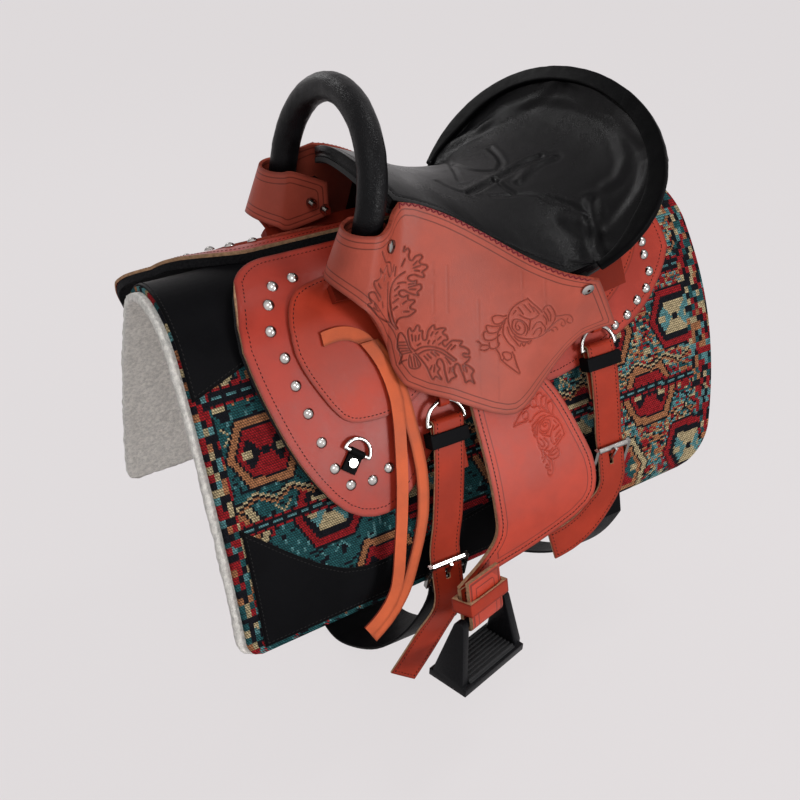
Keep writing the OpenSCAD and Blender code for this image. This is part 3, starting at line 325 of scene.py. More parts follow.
def resampled(path, step, closed=False):
    """Points at even steps along a path, with the directions there."""
    p = np.array([tuple(v) for v in path])
    if closed:
        p = np.vstack([p, p[:1]])
    along = np.concatenate([[0], np.cumsum(np.linalg.norm(np.diff(p, axis=0), axis=1))])
    n = max(int(along[-1] / step), 1)
    t = np.linspace(0, along[-1], n + 1)[: n if closed else n + 1]
    q = np.stack([np.interp(t, along, p[:, i]) for i in range(3)], 1)
    ahead = np.stack([np.interp((t + step) % along[-1] if closed else np.minimum(t + step, along[-1]),
                                along, p[:, i]) for i in range(3)], 1)
    back = np.stack([np.interp((t - step) % along[-1] if closed else np.maximum(t - step, 0),
                               along, p[:, i]) for i in range(3)], 1)
    d = ahead - back
    return q, d / np.maximum(np.linalg.norm(d, axis=1), 1e-9)[:, None]


def inset_runs(loop, tree, inset, keep=None):
    """Runs of points that lie a set distance in from a loop, without the bunching at its corners."""
    q, d = resampled(loop, 0.0016, closed=True)
    edge = find_tree(q)
    runs, run = [], []
    for p, t in zip(q, d):
        n = tree.find_nearest(Vector(p))[1]
        hit = tree.find_nearest(Vector(p) + n.cross(Vector(t)).normalized() * inset)
        ok = hit[0] is not None and edge.find(hit[0])[2] > inset * 0.9 and (keep is None or keep(hit[0]))
        if ok:
            run.append(hit[0])
        if (not ok or p is q[-1]) and len(run) > 4:
            runs.append(run)
        if not ok:
            run = []
    if len(run) > 4 and (not runs or runs[-1] is not run):
        runs.append(run)
    if len(runs) > 1 and (runs[0][0] - runs[-1][-1]).length < 0.006:
        runs[0] = runs.pop() + runs[0]
    return runs


def stitch_shape():
    """One stitch: a short bead of thread, lying along X."""
    bpy.ops.object.select_all(action="DESELECT")
    bpy.ops.mesh.primitive_uv_sphere_add(segments=6, ring_count=4, radius=0.5)
    bead = bpy.context.object
    bpy.ops.object.mode_set(mode="EDIT")
    bpy.ops.mesh.select_all(action="SELECT")
    bpy.ops.transform.rotate(value=math.pi / 2, orient_axis="Y", center_override=(0, 0, 0))
    bpy.ops.object.mode_set(mode="OBJECT")
    shape = coords(bead.data), [list(f.vertices) for f in bead.data.polygons]
    bpy.data.objects.remove(bead)
    return shape


def stamped(name, shape, places):
    """One mesh with a copy of a small shape at every place: point, X direction, Z direction and sizes."""
    co, faces = shape
    all_co, all_faces = [], []
    for p, x, z, size in places:
        x = np.asarray(x) / np.linalg.norm(x)
        y = np.cross(z, x)
        y /= np.linalg.norm(y)
        z = np.cross(x, y)
        all_faces += [[i + len(all_co) * len(co) for i in f] for f in faces]
        all_co.append(p + (co * size) @ np.stack([x, y, z]))
    mesh = bpy.data.meshes.new(name)
    mesh.from_pydata(np.concatenate(all_co), [], all_faces)
    piece = bpy.data.objects.new(name, mesh)
    bpy.context.scene.collection.objects.link(piece)
    return piece


# A stitch's width and height, and how far it stands off the leather
STITCH_GIRTH = (0.00105, 0.0009)
STITCH_LIFT = 0.00012


def stitched(piece, node, loops, tree, rows, keep=None, thread="thread", pitch=None, size=None, zigzag=0):
    """Rows of stitches at these distances in from the piece's edge."""
    look = looks("leather")
    skin = skin_of(piece)
    places = []
    for inset, loop in ((r, l) for r in rows for l in loops):
        for run in inset_runs(loop, tree, inset, keep):
            q, d = resampled(run, pitch or look.pitch)
            for k, (p, t) in enumerate(zip(q, d)):
                spot, n, _, _ = skin.find_nearest(Vector(p))
                lean = Vector(t) + n.cross(Vector(t)) * (zigzag * (-1) ** k or 0.12)
                places.append((np.array(spot + n * STITCH_LIFT), np.array(lean), np.array(n),
                               size or (look.stitch, *STITCH_GIRTH)))
    if not places:
        return None
    row = stamped(node + "_" + thread, stitch_shape(), places)
    row.data.materials.append(finish(thread))
    done(row, node, replace=False)
    return row


def edge_distance(piece, loops):
    """Each point's distance from the sheet's edge, in millimetres, for burnished lines and worn edges."""
    q = np.concatenate([resampled(loop, 0.001, closed=True)[0] for loop in loops])
    edge = find_tree(q)
    attribute(piece.data, "inset", [edge.find(v.co)[2] * 1000 for v in piece.data.vertices])


def sheet_of_leather(node, name, surface, slot, rows=(), edge="cut_edge", thread="thread", shape=None):
    """A cut sheet of leather: rounded edges, smooth curves, an edge-distance map and rows of stitching."""
    piece = copied(node, name)
    loops, tree = sides(piece)
    piece.data.materials.append(finish(surface))
    piece.data.materials.append(finish(edge))
    subdivide(piece, 1, simple=True)
    bevel(piece, looks("leather").edge)
    subdivide(piece, 1)
    if shape:
        shape(piece)
    edge_distance(piece, loops[:1])
    done(piece, node, slot)
    if rows:
        stitched(piece, node, loops[:1], tree, rows, thread=thread)
    return piece


# Motifs drawn in their own units; each stroke is a smooth line through its points
OAK_LEAVES = (
    "29,44 28.5,60 29,75 32,86 37,92", "46,33 38,39 33,47 31,57 31.5,70 34,83 38.5,91.5",
    "37,86 39,82 43,80 49,79 53,77 57,73 52,71 52,68 56,64 55,62 50,62 49,59 49,57 45,59 42,58 40,56 "
    "41,53 45,52 49,54 54,56 60,57 59,54 63,50 62,46 58,46 58,42 55,43 51,42 49,40 51,37 56,36 62,38 "
    "66,38 65,35 64,33 69,29 68,26 63,25 61,22 64,18 62,15.5 57,17 54,21 51,20 50,16 51,12 49,9 45,12 "
    "46,7",
    "32,86 25,83 18,78 12,71 8,67 12,65 10,61 9,56 12,54 16,55 18,59 20,63 21.5,61 21,58 18,53 15,47 "
    "15,43 18,42 21,39 22,35 21,30 24,34 26,30 28,26 29,33 31,38 32.5,34 32,27 31,23 27,23 25,18 23,12",
    "55,26 59,22", "55,29 62,26.5", "56,31.5 61,32", "39,45 43,44 47,44", "36,52 40,48", "36,58 38,57",
    "50,46 56,45", "50,49 57,47", "51,51 57,51", "34,65 39,61", "34,72 38,69", "44,66 48,63",
    "45,74 50,74", "25,42 26,36", "22,50 19,45", "24,70 23,64", "18,71 15,66", "20,74 14,70",
    "36,37 37,28", "34,33 35,26", "43,27 46,20", "56,115 63,111 70,110 78,111 86,114 93,119 99,124",
    "60,118 68,114 77,114 85,117 91,121 97,125",
    "56,114 52,110 50,103 49,95 51,91 53,94 55,94 57,91 59,88 61,90 61,94 64,94 64,99 65,103 68,103 "
    "69,99 70,94 73,90 76,88 77,92 80,92 84,91 88,92 85,96 89,99 90,103 86,104 85,107 88,110 91,107 "
    "95,104 100,104 105,105 103,109 108,111 112,114 112,118 107,117 106,119 109,121 113,121 111,125 "
    "108,128 113,131 117,135 115,140 118,148",
    "118,148 113,145 109,147 107,141 104,134 102,129 99,128 97,132 97,137 99,141 95,143 91,147 89,142 "
    "87,134 86,128 83,123 80,124 79,129 82,133 80,137 84,144 78,141 75,144 72,139 69,132 65,126 60,120 "
    "57,117", "54,104 53,98", "57,104 57,99", "60,103 61,98", "59,109 62,107", "70,107 71,104",
    "75,107 77,104", "81,108 84,106", "73,99 75,95", "78,97 80,95", "80,103 83,100", "94,113 98,109",
    "90,113 94,108", "66,120 70,124", "69,118 73,122", "73,116 78,120", "77,116 81,119", "88,121 93,128",
    "72,134 74,130", "76,136 77,129", "92,137 93,132", "95,136 96,131", "107,135 106,129",
    "110,136 108,130", "38,112 38.5,104 39.5,98 42,96 45,99 48,105 50,111 53,116",
    "38,112 41,116 43,119 42,123 40,128 44,125 48,124", "40,106 47,105.5", "40,109 48,109",
    "40,112 51,112", "42,115 51,114", "43,118 52,116",
    "51,119 50,125 51,131 55,133 60,132 62,128 58,121 55,118", "52,121 54,131", "55,120 57,131",
    "58,122 60,130",
)
SCROLL = (
    "44,43 40,44 36,43 31,43 27,45 27,49 30,53 35,53 40,50 44,46",
    "39,54 33,56 27,56 20,55 20,60 23,64 29,64 34,62 38,57", "21,62 17,63 16,67 18,72 24,73 30,71 36,66",
    "9,74 9,80 12,84 18,85 23,82 21,79 14,78 10,74", "23,76 24,82 29,83 34,80 35,76",
    "69,23 60,27 52,33 47,41 46,49 48,57 52,64 58,69 66,71 75,71 83,69 90,65 96,58 101,50 103,45 102,39 "
    "99,34 96,31 91,32 88,36", "69,22 75,28 81,33 87,39",
    "58,55 60,58 58,61 55,58 55,53 58,50 63,51 66,56 66,62 62,66 56,64 51,58 51,52 53,48 58,48 64,50 "
    "69,56 69,63 67,67", "71,61 72,54 72,48 66,46 59,42", "72,48 78,46 82,43",
    "75,59 80,52 85,51 88,54 91,58 90,62", "76,66 80,60 85,58 86,63 83,67", "55,37 52,41",
    "58,33 61,37 64,41", "65,30 69,35 73,39", "71,29 75,34 77,38", "76,33 81,38 83,41",
    "89,38 93,44 95,50", "93,35 97,42 97,50", "88,43 92,48 92,54",
    "103,44 110,43 116,42 121,43 124,47 123,51 120,52 117,50 118,46", "91,62 96,57 101,53 107,48",
    "107,49 110,47 114,49 115,53 113,56 110,54 111,51", "95,62 98,60 101,62", "100,58 103,57 106,60",
    "44,46 38,54 34,62 33,70 34,78", "42,50 40,57 40,65 43,71 47,77 52,81 54,85",
    "45,57 47,64 51,70 56,76 60,80 62,76 65,80 68,75 71,77 74,73", "53,68 58,73 66,75 74,73",
    "31,83 35,89 38,97 41,94 39,89 43,87 49,89 50,94 45,97 42,95",
    "51,87 54,95 57,104 60,113 52,108 44,102 38,97", "53,90 55,98 57,106",
)


def drawn(strokes, place, tree):
    """A motif's strokes, laid on a sheet as the camera sees them."""
    paths = []
    for stroke in strokes:
        p = np.array([[float(v) for v in pair.split(",")] for pair in stroke.split()])
        ends = np.vstack([2 * p[0] - p[1], p, 2 * p[-1] - p[-2]])
        line = [b + t / 2 * (c - a + t * (2 * a - 5 * b + 4 * c - d + t * (3 * (b - c) + d - a)))
                for a, b, c, d in zip(ends, ends[1:], ends[2:], ends[3:]) for t in np.arange(0, 1, 0.125)]
        hits = [tree.ray_cast(EYE, ray(*place(*q)))[0] for q in (*line, p[-1])]
        hits = [h for h in hits if h is not None]
        if len(hits) > 1:
            paths.append(hits)
    return paths


def skin_of(piece):
    """A search tree over a piece's faces."""
    mesh = piece.data
    return BVHTree.FromPolygons([v.co.copy() for v in mesh.vertices],
                                [list(f.vertices) for f in mesh.polygons])


def mirrored(paths):
    return [[Vector((p.x, -p.y, p.z)) for p in path] for path in paths]


def distances(paths, reach):
    """A function that gives points' distances from the paths; points out of reach count as a metre away."""
    line = np.concatenate([resampled(p, 0.0004)[0] for p in paths])
    tree = find_tree(line)
    low, high = line.min(0) - reach, line.max(0) + reach

    def far(points):
        points = np.asarray(points)
        out = np.ones(len(points))
        for i in np.nonzero(((points > low) & (points < high)).all(1))[0]:
            out[i] = tree.find(points[i])[2]
        return out
    return far


def tooled(piece, cuts):
    """Presses grooves with raised lips into leather: paths, half width, depth and stain."""
    measures = [distances(paths, 0.012) for paths, _, _, _ in cuts]
    bm = bmesh.new()
    bm.from_mesh(piece.data)
    for far, (_, half, _, _) in zip(measures, cuts):
        for _ in range(5):
            coarse = set()
            faces = list(bm.faces)
            for f, gap in zip(faces, far([f.calc_center_median() for f in faces])):
                size = max(e.calc_length() for e in f.edges) if gap < 0.03 else 0
                if size > half * 1.3 and gap < size * 0.7 + 2.6 * half:
                    coarse.update(e for e in f.edges if e.calc_length() > half * 0.8)
            if not coarse:
                break
            bmesh.ops.subdivide_edges(bm, edges=list(coarse), cuts=1, use_grid_fill=True)
    bm.to_mesh(piece.data)
    bm.free()
    co, n = coords(piece.data), normals(piece.data)
    lift = np.zeros(len(co))
    stain = np.zeros(len(co))
    for far, (_, half, depth, dark) in zip(measures, cuts):
        r = far(co) / half
        groove = np.exp(-r ** 2)
        lift += (0.35 * np.exp(-((r - 2) / 0.8) ** 2) - groove) * depth
        stain = np.maximum(stain, groove * dark)
    set_coords(piece.data, co + n * lift[:, None])
    attribute(piece.data, "cut", stain)


def adder(tree):
    """Makes nodes in one call: inputs are values, or sockets to link."""
    def add(kind, inputs=None, **props):
        n = tree.nodes.new(kind)
        for k, v in props.items():
            setattr(n, k, v)
        for k, v in (inputs or {}).items():
            if isinstance(v, bpy.types.NodeSocket):
                tree.links.new(v, n.inputs[k])
            else:
                n.inputs[k].default_value = v
        return n
    return add


def calc(add, operation, a, b=0.0):
    return add("ShaderNodeMath", {0: a, 1: b}, operation=operation).outputs[0]


def span(add, value, low, high, to_low=0.0, to_high=1.0):
    """A value from one range to another, eased at both ends."""
    return add("ShaderNodeMapRange", {"Value": value, "From Min": low, "From Max": high, "To Min": to_low,
                                      "To Max": to_high}, interpolation_type="SMOOTHSTEP").outputs[0]


def mixed(add, share, a, b):
    a, b = (v if isinstance(v, bpy.types.NodeSocket) else (*v[:3], 1) for v in (a, b))
    return add("ShaderNodeMix", {0: share, 6: a, 7: b}, data_type="RGBA").outputs[2]


def group(name, inputs, outputs):
    """An empty node group with named sockets."""
    tree = bpy.data.node_groups.new(name, "ShaderNodeTree")
    for word, kind in inputs:
        tree.interface.new_socket(word, in_out="INPUT", socket_type=kind)
    for word in outputs:
        tree.interface.new_socket(word, in_out="OUTPUT", socket_type="NodeSocketFloat")
    add = adder(tree)
    return tree, add, add("NodeGroupInput").outputs, add("NodeGroupOutput").inputs


def noise(add, where, scale, detail=2.0, rough=0.5):
    return add("ShaderNodeTexNoise", {"Vector": where, "Scale": scale, "Detail": detail,
                                      "Roughness": rough}).outputs["Fac"]


def hide_grain():
    """Leather: cloudy colour, fine pores, and a height for both."""
    tree, add, i, o = group("Hide grain", [("Vector", "NodeSocketVector"), ("Pores", "NodeSocketFloat")],
                            ["Shade", "Rough", "Height"])
    cloud = noise(add, i["Vector"], 16, 4, 0.6)
    fine = noise(add, i["Vector"], 620, 2)
    pore = add("ShaderNodeTexVoronoi", {"Vector": i["Vector"], "Scale": i["Pores"]}).outputs["Distance"]
    crease = add("ShaderNodeTexVoronoi", {"Vector": i["Vector"], "Scale": i["Pores"]},
                 feature="DISTANCE_TO_EDGE").outputs["Distance"]
    shade = calc(add, "ADD", calc(add, "MULTIPLY", span(add, cloud, 0.3, 0.72), 0.75),
                 calc(add, "MULTIPLY", fine, 0.25))
    tree.links.new(shade, o["Shade"])
    tree.links.new(span(add, calc(add, "ADD", cloud, calc(add, "MULTIPLY", fine, 0.5)), 0.4, 1.1), o["Rough"])
    height = calc(add, "ADD", span(add, crease, 0.0, 0.28), calc(add, "MULTIPLY", pore, 0.35))
    tree.links.new(height, o["Height"])
    return tree


def edge_work():
    """Darker leather at the edge, and burnished lines at one and two set distances in."""
    tree, add, i, o = group("Edge work", [("Inset", "NodeSocketFloat"), ("Line", "NodeSocketFloat")],
                            ["Burnish", "Groove"])
    rim = span(add, i["Inset"], 0.3, 4.0, 0.55, 0.0)
    off = [calc(add, "ABSOLUTE", calc(add, "SUBTRACT", i["Inset"], calc(add, "MULTIPLY", i["Line"], k)))
           for k in (1.0, 2.0)]
    line = span(add, calc(add, "MINIMUM", *off), 0.25, 0.95, 1.0, 0.0)
    tree.links.new(calc(add, "MAXIMUM", rim, calc(add, "MULTIPLY", line, 0.8)), o["Burnish"])
    tree.links.new(line, o["Groove"])
    return tree


def nap():
    """Felt and fleece: tangled fibres at two sizes."""
    tree, add, i, o = group("Nap", [("Vector", "NodeSocketVector"), ("Scale", "NodeSocketFloat")],
                            ["Shade", "Height"])
    coarse = noise(add, i["Vector"], i["Scale"], 3, 0.6)
    fine = noise(add, i["Vector"], calc(add, "MULTIPLY", i["Scale"], 7.0), 2, 0.6)
    total = calc(add, "ADD", calc(add, "MULTIPLY", coarse, 0.6), calc(add, "MULTIPLY", fine, 0.4))
    tree.links.new(span(add, total, 0.32, 0.68), o["Shade"])
    tree.links.new(total, o["Height"])
    return tree


def weave():
    """Slanted oval knots in staggered rows, in knot units."""
    tree, add, i, o = group("Weave", [("Vector", "NodeSocketVector")], ["Knot"])
    parts = add("ShaderNodeSeparateXYZ", {0: i["Vector"]}).outputs
    row = calc(add, "FLOOR", parts["Y"])
    shift = calc(add, "MULTIPLY", calc(add, "MODULO", calc(add, "ABSOLUTE", row), 2.0), 0.5)
    down = calc(add, "SUBTRACT", calc(add, "FRACT", parts["Y"]), 0.5)
    lean = calc(add, "ADD", calc(add, "ADD", parts["X"], shift), calc(add, "MULTIPLY", down, 0.45))
    across = calc(add, "SUBTRACT", calc(add, "FRACT", lean), 0.5)
    dist = calc(add, "SQRT", calc(add, "ADD", calc(add, "MULTIPLY", across, across),
                                  calc(add, "MULTIPLY", down, down)))
    tree.links.new(span(add, dist, 0.18, 0.62, 1.0, 0.0), o["Knot"])
    return tree


def scratches():
    """Polished metal: cloudy haze and hairlines."""
    tree, add, i, o = group("Scratches", [("Vector", "NodeSocketVector")], ["Haze", "Lines"])
    tree.links.new(span(add, noise(add, i["Vector"], 90, 4, 0.65), 0.3, 0.75), o["Haze"])
    long = add("ShaderNodeMapping", {"Vector": i["Vector"], "Scale": (60, 900, 900)}).outputs[0]
    tree.links.new(span(add, noise(add, long, 6, 3, 0.7), 0.55, 0.75), o["Lines"])
    return tree


GROUPS = {"Hide grain": hide_grain, "Edge work": edge_work, "Nap": nap, "Weave": weave,
          "Scratches": scratches}


def placed_group(add, name, inputs):
    tree = bpy.data.node_groups.get(name) or GROUPS[name]()
    return add("ShaderNodeGroup", inputs, node_tree=tree).outputs


def blank(name):
    material = bpy.data.materials.new(name)
    material.use_nodes = True
    tree = material.node_tree
    tree.nodes.clear()
    add = adder(tree)
    out = add("ShaderNodeOutputMaterial")

    def shade(base, rough, height=None, bump=0.3, depth=0.0005, **fixed):
        inputs = {"Base Color": base, "Roughness": rough}
        inputs.update({k.replace("_", " "): v for k, v in fixed.items()})
        if height is not None:
            inputs["Normal"] = add("ShaderNodeBump", {"Height": height, "Strength": bump,
                                                      "Distance": depth}).outputs[0]
        tree.links.new(add("ShaderNodeBsdfPrincipled", inputs).outputs[0], out.inputs[0])
        return material
    return add, add("ShaderNodeTexCoord").outputs["Object"], shade


def deeper(tint, share):
    return tuple(c * share for c in tint)


def hide(tint, pores=900, rough=(0.30, 0.52), line=0.0, bump=0.25, gloss=0.22, coat=0.0):
    """Dressed leather, darker in its burnished lines and tool cuts."""
    def make(name):
        add, where, shade = blank(name)
        g = placed_group(add, "Hide grain", {"Vector": where, "Pores": pores})
        inset = add("ShaderNodeAttribute", attribute_name="inset").outputs["Fac"]
        cut = add("ShaderNodeAttribute", attribute_name="cut").outputs["Fac"]
        e = placed_group(add, "Edge work", {"Inset": inset, "Line": line})
        base = mixed(add, g["Shade"], deeper(tint, 0.78), deeper(tint, 1.16))
        base = mixed(add, e["Burnish"], base, deeper(tint, 0.26))
        base = mixed(add, cut, base, deeper(tint, 0.16))
        height = calc(add, "SUBTRACT", calc(add, "MULTIPLY", g["Height"], 0.5), e["Groove"])
        rough_out = span(add, g["Rough"], 0, 1, *rough)
        return shade(base, rough_out, height, bump, 0.0004, Specular_IOR_Level=gloss, Coat_Weight=coat,
                     Coat_Roughness=0.35)
    return make


def cut_edge(tint):
    """Raw cut leather with fibres along the edge."""
    def make(name):
        add, where, shade = blank(name)
        g = placed_group(add, "Nap", {"Vector": where, "Scale": 260})
        base = mixed(add, g["Shade"], deeper(tint, 0.55), deeper(tint, 1.25))
        return shade(base, span(add, g["Shade"], 0, 1, 0.6, 0.85), g["Height"], 0.4, 0.0006,
                     Specular_IOR_Level=0.05)
    return make


def napped(dark, pale, scale, bump=0.6, depth=0.002, sheen=0.3):
    """Felt or fleece."""
    def make(name):
        add, where, shade = blank(name)
        g = placed_group(add, "Nap", {"Vector": where, "Scale": scale})
        base = mixed(add, g["Shade"], dark, pale)
        return shade(base, span(add, g["Shade"], 0, 1, 0.95, 0.8), g["Height"], bump, depth,
                     Specular_IOR_Level=0.02, Sheen_Weight=sheen, Sheen_Roughness=0.5)
    return make


def kilim(name):
    """Woven face: each knot has its own yarn colour, and painted shade darkens the gaps between knots."""
    add, where, shade = blank(name)
    yarn = add("ShaderNodeAttribute", attribute_name="yarn").outputs["Color"]
    knots = add("ShaderNodeUVMap", uv_map="knots").outputs[0]
    w = placed_group(add, "Weave", {"Vector": knots})
    n = placed_group(add, "Nap", {"Vector": where, "Scale": 500})
    # Painted shade: the yarn colour darkens towards black in the gaps between knots.
    base = mixed(add, w["Knot"], mixed(add, 0.72, yarn, (0.012, 0.012, 0.014)), yarn)
    base = mixed(add, calc(add, "MULTIPLY", n["Shade"], 0.35), base, (0.0, 0.0, 0.0))
    height = calc(add, "ADD", w["Knot"], calc(add, "MULTIPLY", n["Height"], 0.3))
    return shade(base, span(add, n["Shade"], 0, 1, 0.9, 0.78), height, 0.75, 0.0012, Specular_IOR_Level=0.03)


def metal(tint, rough):
    """Polished metal, with painted shade that darkens it where it turns away from the camera."""
    def make(name):
        add, where, shade = blank(name)
        s = placed_group(add, "Scratches", {"Vector": where})
        # Painted shade: the base colour darkens towards the rims, where the surface turns away from the
        # camera.
        painted_rim_shade = span(add, add("ShaderNodeLayerWeight", {"Blend": 0.5}).outputs["Facing"], 0.02, 0.62)
        base = mixed(add, painted_rim_shade, mixed(add, s["Haze"], deeper(tint, 0.8), tint), deeper(tint, 0.24))
        level = calc(add, "ADD", span(add, s["Haze"], 0, 1, *rough), calc(add, "MULTIPLY", s["Lines"], 0.08))
        return shade(base, level, s["Lines"], 0.06, 0.0001, Metallic=1.0)
    return make


def moulded(tint, rough, scale=700, bump=0.2, gloss=0.2):
    """Enamel, rubber and moulded plastic with a fine texture."""
    def make(name):
        add, where, shade = blank(name)
        g = placed_group(add, "Nap", {"Vector": where, "Scale": scale})
        base = mixed(add, g["Shade"], deeper(tint, 0.75), deeper(tint, 1.3))
        return shade(base, span(add, g["Shade"], 0, 1, *rough), g["Height"], bump, 0.0004,
                     Specular_IOR_Level=gloss)
    return make


def finish(name):
    """The material of this name, made when it is first asked for."""
    full = "saddle_" + name
    if full in bpy.data.materials:
        return bpy.data.materials[full]
    look, pad, seat = looks("leather"), looks("pad"), looks("seat")
    makers = {
        "skirt_leather": hide(look.skirt, 1000, (0.32, 0.46), 0.0, 0.16, 0.2, 0.08),
        "upper_leather": hide(look.upper, 800, (0.34, 0.48), 0.0, 0.2, 0.18, 0.05),
        "jockey_leather": hide(look.jockey, 850, (0.40, 0.52), 6.0, 0.2, 0.24),
        "fender_leather": hide(deeper(look.upper, 1.06), 850, (0.34, 0.5), 6.0, 0.2, 0.24, 0.08),
        "strap_leather": hide(deeper(look.upper, 0.84), 800, (0.36, 0.54), 0.0, 0.25, 0.12),
        "thong_leather": hide(look.thong, 700, (0.42, 0.6), 0.0, 0.3, 0.15),
        "black_leather": hide(look.black, 700, (0.36, 0.5), 0.0, 0.3, 0.02),
        "wrap_leather": hide(look.black, 420, (0.3, 0.46), 0.0, 0.9, 0.12),
        "seat_leather": hide(seat.cover, 560, (0.26, 0.38), 0.0, 0.5, 0.10),
        "brim_leather": hide(deeper(seat.cover, 0.6), 560, (0.3, 0.42), 0.0, 0.3, 0.03),
        "cut_edge": cut_edge(look.cut),
        "red_edge": cut_edge(deeper(look.jockey, 0.8)),
        "black_edge": cut_edge((0.02, 0.018, 0.018)),
        "felt": napped((0.004, 0.004, 0.005), (0.018, 0.017, 0.018), 420, 0.7, 0.0016, 0.05),
        "fleece": napped(deeper(pad.fleece, 0.72), deeper(pad.fleece, 1.2), 210, 0.8, 0.004, 0.1),
        "kilim": kilim,
        "nickel": metal((0.70, 0.68, 0.65), (0.10, 0.24)),
        "steel": metal((0.10, 0.10, 0.105), (0.4, 0.6)),
        "stirrup_metal": moulded((0.006, 0.006, 0.007), (0.25, 0.42), gloss=0.08),
        "rubber": moulded((0.03, 0.03, 0.031), (0.6, 0.8), 500, 0.4, 0.05),
        "seat_shell": moulded((0.02, 0.02, 0.02), (0.5, 0.7)),
        # The tree bars take the upper leather's colour painted lighter, so that in the shade they sit in they
        # match the lit leather beside them.
        "rawhide": hide(deeper(look.upper, 1.15), 500, (0.5, 0.7), 0.0, 0.3, 0.1),
        "thread": moulded(look.thread, (0.7, 0.9), 2200, 0.5),
        "black_thread": moulded((0.012, 0.011, 0.011), (0.7, 0.9), 2200, 0.5),
        "lace": moulded((0.16, 0.012, 0.022), (0.6, 0.85), 1800, 0.5),
    }
    return makers[name](full)


def pad_outline(s):
    """Front and rear ends of the pad, s over the surface from the spine."""
    def corner(r):
        e = np.maximum(np.abs(s) - PAD_DROP + r, 0)
        return r - np.sqrt(np.maximum(r * r - e * e, 0))
    bow = PAD_BOW * np.sin(np.pi * np.abs(s) / PAD_DROP)
    return corner(0.046) - PAD_HALF - bow, PAD_HALF - corner(0.014)


def pad_sheet(name, step, d, trim=0.0):
    """A fine grid laid over the pad, d above the fleece's underside, its front edge set back by trim."""
    bpy.ops.object.select_all(action="DESELECT")
    bpy.ops.mesh.primitive_grid_add(x_subdivisions=int(2 * PAD_HALF / step),
                                    y_subdivisions=int(2 * PAD_DROP / step), size=2)
    piece = bpy.context.object
    piece.name = name
    co = coords(piece.data)
    s = co[:, 1] * PAD_DROP
    back, front = pad_outline(s)
    share = (co[:, 0] + 1) / 2
    x = back + (front - trim - back) * share
    set_coords(piece.data, flank(x, s * (1 + PAD_SKEW / PAD_DROP * co[:, 0]), d))
    return piece


def scatter(i, j, n):
    """A fixed spread of whole numbers below n over the knots."""
    h = (i.astype(np.int64) * 73856093) ^ (j.astype(np.int64) * 19349663)
    h = (h ^ (h >> 13)) * 1274126177
    return ((h ^ (h >> 16)) & 0x7FFFFFFF) % n


def yarn_colours(x, s):
    """The kilim: medallions with hourglass hearts on a teal ground, barred bands and end borders."""
    look = looks("pad")
    ground, red, ink, cream, orange, mist = range(6)
    palette = np.array([look.teal, look.red, look.ink, look.cream, look.orange, look.mist])
    i = np.floor(x / look.knot).astype(int)
    j = np.floor(s / look.knot).astype(int)
    yarn = np.zeros(len(i), int)
    rear = np.clip((-x - 0.06) / 0.12, 0, 1)

    def paint(mask, c):
        yarn[mask] = np.broadcast_to(c, yarn.shape)[mask]

    # Hooks and sprigs on the ground, closer together towards the rear
    bi, bj = i // 7, j // 7
    a, b = i % 7, j % 7
    pick = scatter(bi, bj, 100)
    tint = np.array([mist, red, cream, ink, orange, red])[scatter(bi + 31, bj, 6)]
    busy = pick < 42 + 55 * rear
    hook = ((a == 1) & (b < 6)) | ((b == 5) & (a > 1) & (a < 5)) | ((a == 4) & (b > 2) & (b < 6))
    sprig = (np.abs(a - 3) == np.abs(b - 3)) | ((a == 3) & (b == 3))
    block = (a > 1) & (a < 6) & (b > 1) & (b < 5)
    shape = np.choose(scatter(bi, bj + 17, 3), [hook, sprig, block])
    paint(busy & shape, tint)
    paint((scatter(i // 2, j, 9) == 0) & (yarn == ground), ink)
    paint((scatter(i, j // 2, 13) == 0) & (yarn == ground), mist)
    fleck = np.array([red, cream, orange, mist, cream, red, orange, mist])[scatter(i // 2, j + 7, 8)]
    paint((scatter(i // 2, j + 3, 100) < 74 * rear) & (yarn == ground), fleck)

    # Medallions in staggered rows
    row = np.floor((j + 12) / 32).astype(int)
    ci = (i + 9 + (row % 2) * 21) % 42 - 21
    cj = (j + 12) % 32 - 16
    p, q = np.abs(ci), np.abs(cj)
    ring = np.maximum(p + q // 2, q + 2)
    kind = scatter((i + 9 + (row % 2) * 21) // 42, row, 3)
    rim = np.array([orange, cream, red])[kind]
    inner = np.array([ink, ground, mist])[kind]
    paint(ring < 17, ink)
    paint(ring < 16, rim)
    paint(ring < 13, ink)
    paint(ring < 12, np.array([red, orange, ink])[kind])
    paint(ring < 10, inner)
    paint((ring < 10) & (p <= q * 0.75 + 1.5) & (q < 8), np.array([red, red, cream])[kind])
    paint((p < 2) & (q < 2), ink)
    paint((ring < 10) & (p > 5) & (q < 2), cream)

    # Barred bands that run along the back
    for centre, half in ((44, 3), (97, 2)):
        band = np.abs(np.abs(j) - centre) <= half
        paint(band, ink)
        paint(band & (np.abs(np.abs(j) - centre) == half) & (i % 4 < 3), red)
        paint(band & (np.abs(j) == centre) & (i % 6 < 4), mist)
    # Stepped zigzag above the lower band
    z = np.abs((i % 16) - 8) // 2
    for k, c in ((0, cream), (1, ink), (2, orange)):
        paint(np.abs(j) == 84 + z + k, c)

    # Border along the front and rear edges
    for near_end in (x > 0.294, x < -0.312):
        c = np.array([red, mist, ink, cream, orange, ground, ink, red])[scatter(i // 2, j // 3, 8)]
        paint(near_end, c)
    shade = 0.78 + 0.5 * scatter(i, j, 64) / 63
    return np.concatenate([palette[yarn] * shade[:, None], np.ones((len(i), 1))], 1)


def roughened(piece, depth, scale, seed=0.0):
    """Uneven tufts all over a piece."""
    co, n = coords(piece.data), normals(piece.data)
    lift = [field.fractal(Vector(p) * scale + Vector((seed, 0, 0)), 1.0, 2.0, 3) for p in co]
    set_coords(piece.data, co + n * (np.array(lift) * depth)[:, None])


